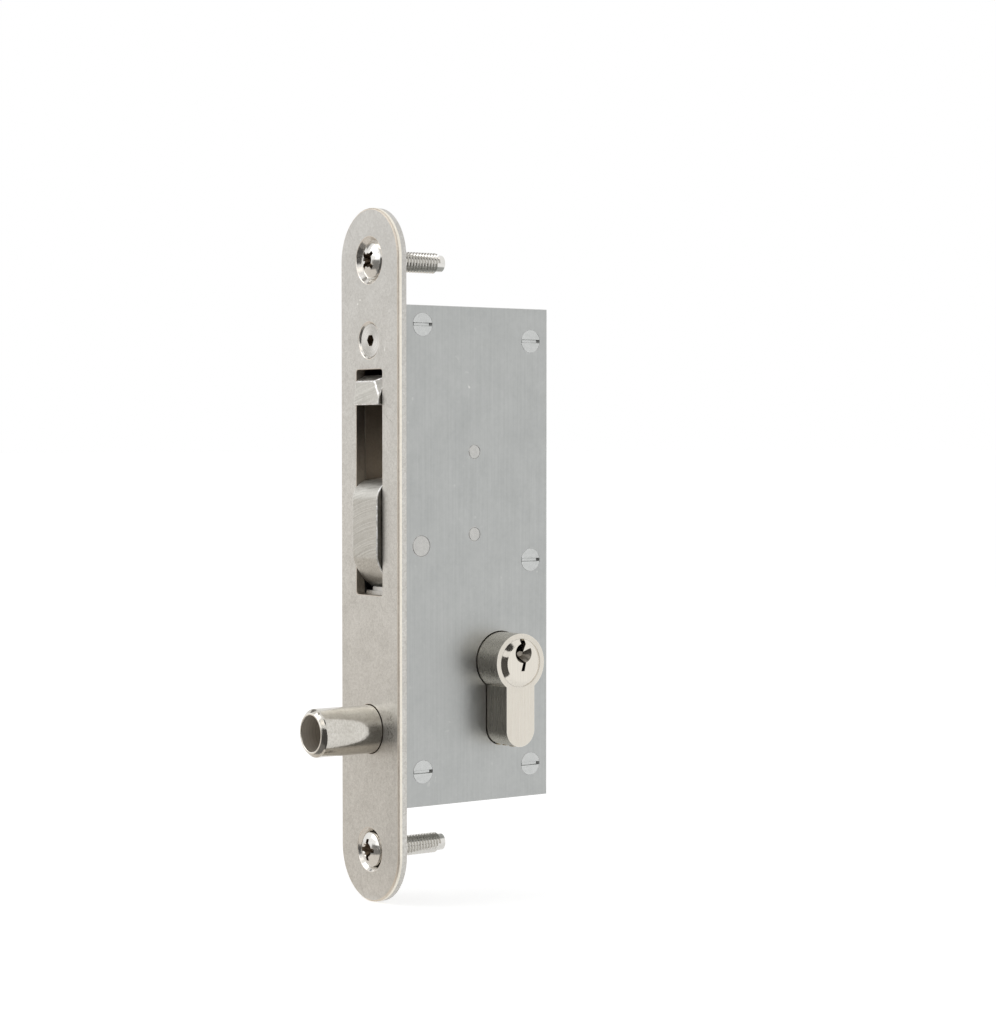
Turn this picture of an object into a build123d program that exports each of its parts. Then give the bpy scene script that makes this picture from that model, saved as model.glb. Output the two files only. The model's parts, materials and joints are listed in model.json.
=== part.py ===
from build123d import *
import os
from math import acos, asin, cos, degrees, pi, radians, sin, sqrt, tan

# Gate insert lock with a swinging hook bolt and a profile cylinder.
# Millimetres. +Z is up, -Y is the way out of the faceplate, +X is the near (key) side.
# The origin is the centre of the faceplate's rear face.

os.makedirs("parts", exist_ok=True)

# Fits
running_clearance = 0.05
sliding_clearance = 0.2
sheet_clearance = 0.25
seat_clearance = 0.02
coil_clearance = 0.1
join = 1.0

# Faceplate
plate_length = 200.0
plate_width = 30.0
plate_thickness = 3.0
plate_edge_break = 0.35
fixing_inset = 15.0
case_screw_height = 62.0
slot_width = 13.6
slot_corner_radius = 0.9
slot_above_tip = 1.6
slot_below_hub = 2.7

# Fixing screws of the faceplate: M6, raised countersunk head, cross recess
fixing_radius = 3.0
fixing_length = 22.0
fixing_head_radius = 5.3
fixing_head_land = 1.0
fixing_dome_height = 1.5
upper_countersink_radius = 6.8
lower_countersink_radius = 6.4
cross_span = 6.4
cross_floor_span = 1.9
cross_depth = 3.0
cross_cone_radius = 2.0
cross_cone_floor_radius = 0.75
cross_wing_width = 1.15
upper_cross_turn = 45.0
lower_cross_turn = 0.0

# Case screw: M5, flat countersunk head, hexagon socket
case_screw_radius = 2.5
case_screw_length = 14.0
case_screw_head_radius = 4.85
case_screw_countersink_radius = 5.35
hex_across_flats = 3.0
hex_depth = 2.1

# Case
case_height = 144.0
case_depth = 52.0
case_width = 24.0
sheet_thickness = 1.5
case_bend_radius = 2.0
block_depth = 15.0
lower_block_drop = 16.0
ledge_clearance = 0.5
ledge_setback = 0.4
ledge_end = -3.4
step_end = -6.2
step_below_ledge = 1.2
step_height = 4.0
block_above_slot = 2.3
pillar_radius = 3.5
pillar_rear_inset = 4.5
pillar_end_inset = 8.0
middle_pillar_height = -2.0
rivet_radius = 2.0
sheet_screw_radius = 2.0
sheet_screw_head_radius = 3.4
sheet_screw_length = 8.0
sheet_screw_inset = 4.0
sheet_screw_slot = 0.9

# Hook
pivot_height = 3.0
hub_radius = 11.6
hub_foot_start = 3.35
hub_foot_drop = 12.4
hub_foot_lean = 16.0
hub_foot_radius = 15.2
hook_proud = 1.6
hook_side_clearance = 0.4
throat_floor_height = 18.3
throat_floor_slope = 6.3
throat_height = 22.15
spine_thickness = 10.1
lobe_setback = 0.47
tip_face_height = 6.95
tip_face_slant = 0.67
tip_chamfer_rise = 1.7
tip_chamfer_depth = 3.2
tip_corner_width = 3.1
tip_corner_height = 4.5
hook_nose_radius = 5.8
throat_radius = 3.0
heel_radius = 8.0
hook_pin_radius = 4.0
hook_pin_end_radius = 3.0
bush_to_plate = 0.5
bush_play = 0.05
guide_overlap = 3.0
swing_angle = 90.0

# Toothing between the hub and the slide
tooth_module = 1.25
full_circle_teeth = 16
sector_gaps = 5
pressure_angle = 20.0
rack_addendum = 1.1
hub_addendum = 1.0
tip_gap = 0.3
rack_root_depth = 2.7
tooth_backlash = 0.25

# Slide
slide_thickness = 12.0
slide_head_depth = 10.0
slide_head_top = 35.0
slide_head_bottom = -14.0
fork_web = 3.2
fork_tooth = 4.5
fork_mouth_round = 1.2
cam_side_clearance = 0.3
cam_rise_allowance = 0.35
housing_to_slide = 2.0
slide_pin_radius = 2.0
slide_pin_depth = 6.0
slide_pin_heights = (6.0, 30.0)
slide_spacer_radius = 4.0
slide_stop_clearance = 0.15

# Return spring of the slide
return_wire_radius = 0.6
return_coil_radius = 3.9
return_turns = 9
spring_rod_radius = 2.2
spring_rod_flange_radius = 5.0
spring_rod_flange = 2.0
spring_seat_gap = 0.1
spring_rod_end_gap = 1.5

# Brake plunger that keeps the slide from rattling
brake_height = 18.0
brake_block_height = 14.0
brake_block_front = 33.0
plunger_radius = 2.6
plunger_head_radius = 3.2
plunger_head = 3.0
plunger_guide = 3.0
plunger_gap = 0.05
brake_wire_radius = 0.4
brake_turns = 6

# Guide pin
guide_pin_radius = 7.0
guide_bore_radius = 5.2
guide_projection = 20.0
guide_chamfer = 1.2
guide_relief = 0.2
guide_hole_clearance = 0.15
guide_root_radius = 6.5
guide_shoulder = 6.5

# Profile cylinder
backset = 35.0
cylinder_height = -31.3
cylinder_half_length = 22.0
head_radius = 8.5
leg_radius = 5.0
leg_drop = 19.5
screw_drop = 18.7
cylinder_screw_radius = 2.5
cylinder_screw_head_radius = 4.25
cylinder_screw_head = 5.0
cylinder_screw_engagement = 8.0
cylinder_hex_across_flats = 4.0
cylinder_hex_depth = 2.5
plug_radius = 6.5
plug_flange_radius = 7.0
plug_flange = 1.5
plug_face_radius = 5.55
plug_proud = 1.2
spigot_radius = 5.1
spigot_gap = 1.5
ring_width = 0.8
ring_outer_radius = 7.4
ring_groove_depth = 0.8
ring_opening = 3.0
ring_collar = 0.2
keyway_mouth_radius = 2.9
keyway_mouth_floor_radius = 1.0
keyway_mouth_depth = 1.9
keyway_mouth_centre = (0.2, 2.9)

# Cam and clutch
cam_width = 7.8
cam_gap_width = 10.1
cam_ring_radius = 8.3
cam_reach = 12.5
cam_nose_radius = 3.0
cam_sweep_clearance = 0.4
clutch_half_width = 1.4
tongue_width = 2.5
tongue_length = 7.0
tongue_depth = 1.8
clutch_lug_width = 2.0
clutch_lug_height = 0.7

# Pin stacks of the cylinder
stack_count = 4
first_stack = 8.3
stack_pitch = 3.5
stack_pin_radius = 1.4
key_pin_cuts = (1.3, 0.5, 1.7, 0.9)
keyway_floor = -2.35
driver_pin_length = 4.2
shear_gap = 0.25
key_pin_rise = 1.2
key_pin_tip = 0.8
stack_chamber_floor = 2.0
stack_wire_radius = 0.25
stack_turns = 4

# Worked out from the sizes above
fixing_height = plate_length / 2 - fixing_inset
inner_half_width = case_width / 2 - sheet_thickness
half_slot = slot_width / 2
half_hook = half_slot - hook_side_clearance
hook_front = -plate_thickness - hook_proud
pivot_y = hook_front + hub_radius
bush_radius = pivot_y - bush_to_plate
spine_back = pivot_y + hub_radius
throat_back = spine_back - spine_thickness
throat_floor = pivot_height + throat_floor_height
throat_top = throat_floor + throat_height
tip_face_top = throat_top + tip_face_height
tip_top = tip_face_top + tip_chamfer_rise
tip_face_front = hook_front + lobe_setback + tip_face_slant
foot_bottom = pivot_height - hub_foot_drop
foot_centre_y = hook_front + hub_foot_radius * cos(radians(hub_foot_lean))
foot_centre_z = pivot_height - hub_foot_start + hub_foot_radius * sin(radians(hub_foot_lean))
foot_front = foot_centre_y - sqrt(hub_foot_radius ** 2 - (foot_centre_z - foot_bottom) ** 2)
hub_sweep = sqrt(hub_foot_drop ** 2 + (pivot_y - foot_front) ** 2)
slot_top = tip_top + slot_above_tip
slot_bottom = pivot_height - hub_radius - slot_below_hub
relief_radius = hub_sweep + ledge_clearance
ledge_top = pivot_height - sqrt(relief_radius ** 2 - (pivot_y - ledge_setback) ** 2)
case_top = case_height / 2
case_inner_top = case_top - sheet_thickness
case_inner_rear = case_depth - sheet_thickness
pitch_radius = tooth_module * full_circle_teeth / 2
slide_travel = radians(swing_angle) * pitch_radius
pitch_line = pivot_y + pitch_radius
slide_front = pitch_line + rack_root_depth
slide_rear = slide_front + slide_head_depth
fork_rear = backset - head_radius - housing_to_slide
cam_tip_front = backset - cam_reach - cam_nose_radius
fork_floor = cam_tip_front - cam_side_clearance
fork_front = fork_floor - fork_web
cam_half_swing = degrees(asin(slide_travel / 2 / cam_reach))
fork_height = cylinder_height - slide_travel / 2
fork_half_gap = cam_nose_radius + cam_rise_allowance + cam_side_clearance
fork_top = fork_height + fork_half_gap + fork_tooth
fork_bottom = fork_height - fork_half_gap - fork_tooth
pin_height = cylinder_height - screw_drop
lower_block_bottom = pin_height - lower_block_drop
upper_block_bottom = slot_top + block_above_slot
lower_screw_height = lower_block_bottom + sheet_screw_inset
upper_screw_height = case_inner_top - sheet_screw_inset
pillar_y = case_inner_rear - pillar_rear_inset
pillar_end = case_inner_top - pillar_end_inset
pillar_heights = (-pillar_end, middle_pillar_height, pillar_end)
slide_pin_y = slide_front + slide_pin_depth
slide_top_lifted = slide_head_top + slide_travel


def box(x0, x1, y0, y1, z0, z1):
    """Solid block between two opposite corners."""
    centre = ((x0 + x1) / 2, (y0 + y1) / 2, (z0 + z1) / 2)
    return Pos(*centre) * Box(x1 - x0, y1 - y0, z1 - z0)


def side_plane(x):
    """Plane across the lock at x, with its own x along +Y and its own y along +Z."""
    return Plane(origin=(x, 0, 0), x_dir=(0, 1, 0), z_dir=(1, 0, 0))


def side_extrude(sketch, x0, x1):
    """Side view sketch (y, z) made solid from x0 to x1."""
    return extrude(side_plane(x0) * sketch, amount=x1 - x0)


def front_extrude(sketch, y0, y1):
    """Front view sketch (x, z) made solid from y0 to y1."""
    plane = Plane(origin=(0, y1, 0), x_dir=(1, 0, 0), z_dir=(0, -1, 0))
    return extrude(plane * sketch, amount=y1 - y0)


def rod_x(radius, x0, x1, y, z):
    return side_extrude(Pos(y, z) * Circle(radius), x0, x1)


def rod_y(radius, y0, y1, x, z):
    return front_extrude(Pos(x, z) * Circle(radius), y0, y1)


def rod_z(radius, z0, z1, x, y):
    return Pos(x, y, (z0 + z1) / 2) * Cylinder(radius, z1 - z0)


def tube_x(outer, inner, x0, x1, y, z):
    return rod_x(outer, x0, x1, y, z) - rod_x(inner, x0, x1, y, z)


def cone_y(radius0, radius1, y0, y1, x, z):
    """Cone along Y with radius0 at y0 and radius1 at y1."""
    return Plane(origin=(x, (y0 + y1) / 2, z), z_dir=(0, 1, 0)) * Cone(radius0, radius1, y1 - y0)


def cone_x(radius0, radius1, x0, x1, y, z):
    """Cone along X with radius0 at x0 and radius1 at x1."""
    return Plane(origin=((x0 + x1) / 2, y, z), z_dir=(1, 0, 0)) * Cone(radius0, radius1, x1 - x0)


def polygon(points):
    return make_face(Polyline(*points, close=True))


def round_corner(sketch, point, radius):
    """Rounds the corner of a sketch that lies nearest to a point."""
    corner = sketch.vertices().sort_by_distance((point[0], point[1], 0))[0]
    return fillet(corner, radius)


def both_sides(piece):
    """The piece and its mirror image on the far side."""
    return [piece, mirror(piece, about=Plane.YZ)]


def save(node, solids):
    """Writes one node; several separate solids stay separate."""
    if isinstance(solids, list):
        solids = Compound(children=solids)
    solids.label = node
    export_step(solids, f"parts/{node}.step")


# Faceplate


def fixing_countersink(radius, z):
    """Countersink that goes right through the plate."""
    return cone_y(radius, radius - plate_thickness, -plate_thickness, 0, 0, z)


def case_screw_countersink():
    depth = case_screw_countersink_radius - case_screw_radius
    front = -plate_thickness
    z = case_screw_height
    cone = cone_y(case_screw_countersink_radius, case_screw_radius, front, front + depth, 0, z)
    return cone + rod_y(case_screw_radius + sheet_clearance, front, 0, 0, z)


def faceplate():
    outline = Rot(0, 0, 90) * SlotOverall(plate_length, plate_width)
    plate = front_extrude(outline, -plate_thickness, 0)
    plate = chamfer(plate.faces().sort_by(Axis.Y)[0].outer_wire().edges(), plate_edge_break)
    slot = Pos(0, (slot_top + slot_bottom) / 2) * Rectangle(slot_width, slot_top - slot_bottom)
    slot = fillet(slot.vertices(), slot_corner_radius)
    plate -= front_extrude(slot, -plate_thickness, 0)
    plate -= rod_y(guide_pin_radius + guide_hole_clearance, -plate_thickness, 0, 0, pin_height)
    plate -= case_screw_countersink()
    plate -= fixing_countersink(upper_countersink_radius, fixing_height)
    return plate - fixing_countersink(lower_countersink_radius, -fixing_height)


# Screws


def cross_recess(top, z, turn):
    """Cross recess with tapering wings, cut into a head whose top is at y = top."""
    half = cross_span / 2
    floor = cross_floor_span / 2
    wing_outline = polygon([(-half, -join), (half, -join), (half, 0), (floor, cross_depth),
                            (-floor, cross_depth), (-half, 0)])
    wing = extrude(wing_outline, amount=cross_wing_width / 2, both=True)
    cone = cone_y(cross_cone_radius, cross_cone_floor_radius, 0, cross_depth, 0, 0)
    recess = wing + Rot(0, 90, 0) * wing + cone
    return Pos(0, top, z) * Rot(0, turn, 0) * recess


def fixing_screw(countersink_radius, z, turn):
    """Screw with a low dome over a short cylindrical land, seated in its countersink."""
    seat = -plate_thickness + countersink_radius - fixing_head_radius - seat_clearance
    neck = seat + fixing_head_radius - fixing_radius
    rim = seat - fixing_head_land
    top = rim - fixing_dome_height
    dome_radius = (fixing_head_radius ** 2 + fixing_dome_height ** 2) / (2 * fixing_dome_height)
    middle_radius = fixing_head_radius / 2
    middle = top + dome_radius - sqrt(dome_radius ** 2 - middle_radius ** 2)
    dome = ThreePointArc((0, top), (middle_radius, middle), (fixing_head_radius, rim))
    rest = Polyline((fixing_head_radius, rim), (fixing_head_radius, seat), (fixing_radius, neck),
                    (fixing_radius, fixing_length), (0, fixing_length), (0, top))
    screw = Pos(0, 0, z) * revolve(make_face(dome + rest), axis=Axis.Y)
    return screw - cross_recess(top, z, turn)


def hexagon(across_flats):
    return RegularPolygon(across_flats / 2, 6, major_radius=False)


def case_screw():
    top = -plate_thickness + case_screw_countersink_radius - case_screw_head_radius - seat_clearance
    neck = top + case_screw_head_radius - case_screw_radius
    z = case_screw_height
    screw = cone_y(case_screw_head_radius, case_screw_radius, top, neck, 0, z)
    screw += rod_y(case_screw_radius, neck, case_screw_length, 0, z)
    return screw - front_extrude(Pos(0, z) * hexagon(hex_across_flats), top, top + hex_depth)


def sheet_screw(y, z):
    """Countersunk screw through the near sheet."""
    outside = case_width / 2
    head = sheet_screw_head_radius - sheet_screw_radius
    screw = cone_x(sheet_screw_radius, sheet_screw_head_radius, outside - head, outside, y, z)
    screw += rod_x(sheet_screw_radius, outside - sheet_screw_length, outside - head, y, z)
    slot = Pos(outside, y, z) * Box(head, 2 * sheet_screw_head_radius, sheet_screw_slot)
    return screw - slot


def sheet_screw_hole(y, z):
    """Countersunk hole that the sheet screw sits in, with its clearance."""
    outside = case_width / 2
    wide = sheet_screw_head_radius + seat_clearance
    narrow = sheet_screw_radius + seat_clearance
    hole = cone_x(narrow, wide, outside - (wide - narrow), outside, y, z)
    return hole + rod_x(narrow, outside - sheet_screw_length, outside, y, z)


cover_screw_places = [(block_depth / 2, upper_screw_height), (block_depth / 2, lower_screw_height)]
cover_screw_places += [(pillar_y, z) for z in pillar_heights]
floor_screw_places = cover_screw_places[:2]


def cover_screws():
    return [sheet_screw(y, z) for y, z in cover_screw_places]


def floor_screws():
    return [mirror(sheet_screw(y, z), about=Plane.YZ) for y, z in floor_screw_places]


# Case


def profile_outline(grow=0.0):
    """Side view of the profile cylinder: round head over a leg with a round end."""
    head = Pos(backset, cylinder_height) * Circle(head_radius + grow)
    leg = Pos(backset, cylinder_height - leg_drop / 2) * Rectangle(2 * (leg_radius + grow), leg_drop)
    end = Pos(backset, cylinder_height - leg_drop) * Circle(leg_radius + grow)
    return head + leg + end


def sheet_holes(x0, x1):
    """Holes that both side sheets share: cylinder, hook pin, slide pins and their ends."""
    holes = side_extrude(profile_outline(sheet_clearance), x0, x1)
    holes += rod_x(hook_pin_end_radius + seat_clearance, x0, x1, pivot_y, pivot_height)
    for z in slide_pin_heights:
        holes += rod_x(slide_pin_radius + seat_clearance, x0, x1, slide_pin_y, z)
    return holes


def case_body():
    floor = -case_width / 2
    tray = box(floor, inner_half_width, 0, case_depth, -case_top, case_top)
    outer_edges = tray.faces().sort_by(Axis.X)[0].edges()
    bends = outer_edges.filter_by(lambda edge: edge.center().Y > join)
    tray = fillet(bends, case_bend_radius)
    inside = floor + sheet_thickness
    tray -= box(inside, inner_half_width, 0, case_inner_rear, -case_inner_top, case_inner_top)
    tray -= sheet_holes(floor, inside)
    for y, z in floor_screw_places:
        tray -= mirror(sheet_screw_hole(y, z), about=Plane.YZ)
    for z in pillar_heights:
        tray -= rod_x(rivet_radius + seat_clearance, floor, inside, pillar_y, z)
    tray -= rod_z(spring_rod_radius + seat_clearance, case_inner_top, case_top, 0, spring_y)
    return tray


def case_cover():
    inside = inner_half_width
    cover = box(inside, case_width / 2, 0, case_depth, -case_top, case_top)
    cover -= sheet_holes(inside, case_width / 2)
    for y, z in cover_screw_places:
        cover -= sheet_screw_hole(y, z)
    return cover


def block_bores(block, places):
    """Bores for the sheet screws that hold a block from both sides."""
    for y, z in places:
        hole = sheet_screw_hole(y, z)
        block = block - hole - mirror(hole, about=Plane.YZ)
    return block


def upper_block():
    half = inner_half_width
    block = box(-half, half, 0, block_depth, upper_block_bottom, case_inner_top)
    block -= rod_y(case_screw_radius + seat_clearance, 0, block_depth, 0, case_screw_height)
    return block_bores(block, cover_screw_places[:1])


def lower_block():
    """Block with a stepped ledge under the hook, hollowed to let the hub's foot pass."""
    half = inner_half_width
    step_top = ledge_top - step_below_ledge
    block = box(-half, half, 0, block_depth, lower_block_bottom, ledge_top)
    block -= box(-half, half, 0, ledge_setback, step_top, ledge_top)
    block -= box(-half, ledge_end, 0, block_depth, step_top, ledge_top)
    block -= box(-half, step_end, 0, block_depth, step_top - step_height, step_top)
    block -= rod_x(relief_radius, -half, half, pivot_y, pivot_height)
    block -= rod_y(guide_root_radius + seat_clearance, 0, block_depth, 0, pin_height)
    return block_bores(block, cover_screw_places[1:2])


def case_pillars():
    """Rear distance pillars, riveted into the far sheet and tapped for the near screws."""
    pillars = []
    for z in pillar_heights:
        pillar = rod_x(pillar_radius, -inner_half_width, inner_half_width, pillar_y, z)
        pillar += rod_x(rivet_radius, -case_width / 2, -inner_half_width, pillar_y, z)
        pillars.append(pillar - sheet_screw_hole(pillar_y, z))
    return pillars


# Hook and its bearing


def hub_point(radius, angle):
    """Point of the hub's side view, by radius and by angle in radians from +Y towards +Z."""
    return (pivot_y + radius * cos(angle), pivot_height + radius * sin(angle))


def involute(angle):
    return tan(angle) - angle


def gap_half_angle(radius):
    """Half the angle of a tooth gap at a radius on or outside the base circle."""
    base_radius = pitch_radius * cos(radians(pressure_angle))
    at_pitch = pi / (2 * full_circle_teeth)
    flank = involute(acos(min(1.0, base_radius / radius)))
    return at_pitch + flank - involute(radians(pressure_angle))


def tooth_gap(angle):
    """Side view of one gap between two involute teeth."""
    base_radius = pitch_radius * cos(radians(pressure_angle))
    root_radius = pitch_radius - rack_addendum - tip_gap
    mouth_radius = hub_radius + tip_gap
    middle_radius = (base_radius + mouth_radius) / 2
    root = gap_half_angle(base_radius)
    middle = gap_half_angle(middle_radius)
    mouth = gap_half_angle(mouth_radius)
    upper = ThreePointArc(hub_point(base_radius, angle + root), hub_point(middle_radius, angle + middle),
                          hub_point(mouth_radius, angle + mouth))
    lower = ThreePointArc(hub_point(base_radius, angle - root), hub_point(middle_radius, angle - middle),
                          hub_point(mouth_radius, angle - mouth))
    outside = Line(hub_point(mouth_radius, angle + mouth), hub_point(mouth_radius, angle - mouth))
    bottom = Polyline(hub_point(base_radius, angle + root), hub_point(root_radius, angle + root),
                      hub_point(root_radius, angle - root), hub_point(base_radius, angle - root))
    return make_face(upper + outside + lower + bottom)


def toothed_sector(last_gap):
    """Side view of all that lies outside the tooth tips."""
    tip_radius = pitch_radius + hub_addendum
    start = gap_half_angle(tip_radius)
    end = last_gap - 2 * start
    reach = 2 * hub_radius
    corners = [hub_point(reach, start + (end - start) * step / 4) for step in range(5)]
    wedge = polygon([(pivot_y, pivot_height)] + corners)
    return wedge - Pos(pivot_y, pivot_height) * Circle(tip_radius)


def hub_foot():
    """Side view of the hub's lower front: upright face, rounded foot and flat bottom."""
    block = Pos((hook_front + pivot_y) / 2, (foot_bottom + pivot_height) / 2)
    block *= Rectangle(pivot_y - hook_front, pivot_height - foot_bottom)
    return block & Pos(foot_centre_y, foot_centre_z) * Circle(hub_foot_radius)


def hook_outline():
    slope = tan(radians(throat_floor_slope))
    floor_back = throat_floor + (throat_back - hook_front) * slope
    lobe_front = hook_front + lobe_setback
    ridge = tip_face_front + tip_chamfer_depth
    blade = polygon([(hook_front, pivot_height), (hook_front, throat_floor), (throat_back, floor_back),
                     (throat_back, throat_top), (lobe_front, throat_top), (tip_face_front, tip_face_top),
                     (ridge, tip_top), (spine_back, tip_top), (spine_back, pivot_height)])
    blade = round_corner(blade, (hook_front, throat_floor), hook_nose_radius)
    blade = round_corner(blade, (throat_back, floor_back), throat_radius)
    blade = round_corner(blade, (throat_back, throat_top), throat_radius)
    blade = round_corner(blade, (spine_back, tip_top), heel_radius)
    outline = blade + hub_foot() + Pos(pivot_y, pivot_height) * Circle(hub_radius)
    gap_pitch = 2 * pi / full_circle_teeth
    outline -= toothed_sector(-gap_pitch * (sector_gaps - 1))
    for step in range(sector_gaps):
        outline -= tooth_gap(-gap_pitch * step)
    return outline


def tip_corner_plane():
    """Plane that bevels the near front corner of the hook's tip."""
    across = (half_hook - tip_corner_width, tip_face_front, tip_face_top)
    down_slant = tip_face_slant * tip_corner_height / tip_face_height
    down = (half_hook, tip_face_front - down_slant, tip_face_top - tip_corner_height)
    back = (half_hook, tip_face_front + tip_chamfer_depth, tip_top)
    to_down = Vector(*down) - Vector(*across)
    to_back = Vector(*back) - Vector(*across)
    return Plane(origin=across, z_dir=to_down.cross(to_back))


def hook():
    body = side_extrude(hook_outline(), -half_hook, half_hook)
    body -= rod_x(hook_pin_radius + running_clearance, -half_hook, half_hook, pivot_y, pivot_height)
    return split(body, bisect_by=tip_corner_plane(), keep=Keep.BOTTOM)


def hook_pin():
    pin = rod_x(hook_pin_radius, -inner_half_width, inner_half_width, pivot_y, pivot_height)
    return pin + rod_x(hook_pin_end_radius, -case_width / 2, case_width / 2, pivot_y, pivot_height)


def hook_bush():
    bore = hook_pin_radius + seat_clearance
    return tube_x(bush_radius, bore, half_hook + bush_play, inner_half_width, pivot_y, pivot_height)


def hook_guide():
    """Guide plate beside the hook's blade, on the near side."""
    bottom = throat_floor - guide_overlap
    top = tip_face_top
    rear = spine_back - sliding_clearance
    return box(half_slot, inner_half_width, 0, rear, bottom, top)


# Slide


def rack_teeth():
    """Side view of the slide's rack teeth, in mesh with the hub at rest."""
    teeth = []
    tooth_pitch = pi * tooth_module
    slope = tan(radians(pressure_angle))
    half = (tooth_pitch / 2 - tooth_backlash) / 2
    tip_half = half - rack_addendum * slope
    root_half = half + rack_root_depth * slope
    tip = pitch_line - rack_addendum
    root = slide_front + join
    for step in range(sector_gaps):
        z = pivot_height - step * tooth_pitch
        teeth.append(polygon([(tip, z - tip_half), (slide_front, z - root_half), (root, z - root_half),
                              (root, z + root_half), (slide_front, z + root_half), (tip, z + tip_half)]))
    return teeth


def slide_outline():
    head = Pos((slide_front + slide_rear) / 2, (slide_head_top + slide_head_bottom) / 2)
    head *= Rectangle(slide_head_depth, slide_head_top - slide_head_bottom)
    stem = Pos((slide_front + fork_rear) / 2, (slide_head_bottom + fork_top) / 2)
    stem *= Rectangle(fork_rear - slide_front, slide_head_bottom - fork_top + 2 * join)
    fork = Pos((fork_front + fork_rear) / 2, (fork_top + fork_bottom) / 2)
    fork *= Rectangle(fork_rear - fork_front, fork_top - fork_bottom)
    mouth_depth = fork_rear - fork_floor
    mouth = Pos(fork_floor + mouth_depth / 2, fork_height) * Rectangle(mouth_depth, 2 * fork_half_gap)
    fork -= mouth
    for side in (1, -1):
        fork = round_corner(fork, (fork_rear, fork_height + side * fork_half_gap), fork_mouth_round)
    outline = head + stem + fork
    for tooth in rack_teeth():
        outline += tooth
    slot_length = slide_travel + 2 * (slide_pin_radius + slide_stop_clearance)
    for z in slide_pin_heights:
        width = 2 * (slide_pin_radius + running_clearance)
        place = Pos(slide_pin_y, z - slide_travel / 2)
        outline -= place * Rot(0, 0, 90) * SlotOverall(slot_length, width)
    return outline


def slide():
    return side_extrude(slide_outline(), -slide_thickness / 2, slide_thickness / 2)


def slide_pins():
    half = case_width / 2
    return [rod_x(slide_pin_radius, -half, half, slide_pin_y, z) for z in slide_pin_heights]


def slide_spacers():
    rings = []
    start = slide_thickness / 2 + sliding_clearance
    bore = slide_pin_radius + seat_clearance
    for z in slide_pin_heights:
        rings += both_sides(tube_x(slide_spacer_radius, bore, start, inner_half_width, slide_pin_y, z))
    return rings


def coil(coil_radius, wire_radius, length, turns):
    """Helical spring along +Z that starts at z = 0; length is over the outside of the wire."""
    rise = length - 2 * wire_radius
    path = Helix(pitch=rise / turns, height=rise, radius=coil_radius)
    start = path @ 0
    section = Plane(origin=start, z_dir=path % 0) * Circle(wire_radius)
    return Pos(0, 0, wire_radius) * sweep(section, path=path, is_frenet=True)


spring_y = (slide_front + slide_rear) / 2


def slide_spring():
    foot = slide_head_top + spring_seat_gap
    top = case_inner_top - spring_rod_flange - spring_seat_gap
    return Pos(0, spring_y, foot) * coil(return_coil_radius, return_wire_radius, top - foot, return_turns)


def spring_rod():
    """Headed rod that hangs inside the spring and is riveted into the top wall."""
    bottom = slide_top_lifted + spring_rod_end_gap
    rod = rod_z(spring_rod_radius, bottom, case_top, 0, spring_y)
    flange_bottom = case_inner_top - spring_rod_flange
    return rod + rod_z(spring_rod_flange_radius, flange_bottom, case_inner_top, 0, spring_y)


# Brake


plunger_tip = slide_rear + plunger_gap
plunger_shoulder = brake_block_front + plunger_guide
plunger_back = plunger_shoulder + plunger_head


def brake_block():
    half = inner_half_width
    low = brake_height - brake_block_height / 2
    high = brake_height + brake_block_height / 2
    block = box(-half, half, brake_block_front, case_inner_rear, low, high)
    guide_bore = plunger_radius + running_clearance
    head_bore = plunger_head_radius + running_clearance
    block -= rod_y(guide_bore, brake_block_front, plunger_shoulder, 0, brake_height)
    return block - rod_y(head_bore, plunger_shoulder, case_inner_rear, 0, brake_height)


def brake_plunger():
    nose = Pos(0, plunger_tip + plunger_radius, brake_height) * Sphere(plunger_radius)
    plunger = nose + rod_y(plunger_radius, plunger_tip + plunger_radius, plunger_shoulder, 0, brake_height)
    head_front = plunger_shoulder + seat_clearance
    plunger += rod_y(plunger_radius, plunger_shoulder, head_front, 0, brake_height)
    return plunger + rod_y(plunger_head_radius, head_front, plunger_back, 0, brake_height)


def brake_spring():
    radius = plunger_head_radius - brake_wire_radius - coil_clearance
    length = case_inner_rear - plunger_back - 2 * spring_seat_gap
    spring = coil(radius, brake_wire_radius, length, brake_turns)
    return Pos(0, plunger_back + spring_seat_gap, brake_height) * Rot(-90, 0, 0) * spring


# Guide pin and cylinder screw


guide_front = -plate_thickness - guide_projection
guide_rear = block_depth
shoulder_front = guide_rear - guide_shoulder


def guide_pin():
    z = pin_height
    outside_end = -plate_thickness - guide_relief
    chamfer_end = guide_front + guide_chamfer
    pin = cone_y(guide_pin_radius - guide_chamfer, guide_pin_radius, guide_front, chamfer_end, 0, z)
    pin += rod_y(guide_pin_radius, chamfer_end, outside_end, 0, z)
    pin += rod_y(guide_pin_radius - guide_relief, outside_end, 0, 0, z)
    pin += rod_y(guide_root_radius, 0, guide_rear, 0, z)
    pin -= rod_y(guide_bore_radius, guide_front, shoulder_front, 0, z)
    return pin - rod_y(cylinder_screw_radius + sheet_clearance, shoulder_front, guide_rear, 0, z)


def cylinder_screw():
    z = pin_height
    head_front = shoulder_front - cylinder_screw_head
    end = backset - leg_radius + cylinder_screw_engagement
    screw = rod_y(cylinder_screw_head_radius, head_front, shoulder_front, 0, z)
    screw += rod_y(cylinder_screw_radius, shoulder_front, end, 0, z)
    socket = Pos(0, z) * hexagon(cylinder_hex_across_flats)
    return screw - front_extrude(socket, head_front, head_front + cylinder_hex_depth)


# Profile cylinder


stack_places = [first_stack + step * stack_pitch for step in range(stack_count)]
chamber_radius = stack_pin_radius + running_clearance
bore_radius = plug_radius + running_clearance
driver_top = cylinder_height - plug_radius - shear_gap
chamber_floor = cylinder_height - leg_drop - leg_radius + stack_chamber_floor
gap_half = cam_gap_width / 2
ring_outer_face = gap_half - running_clearance
ring_inner_face = ring_outer_face - ring_width


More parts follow.
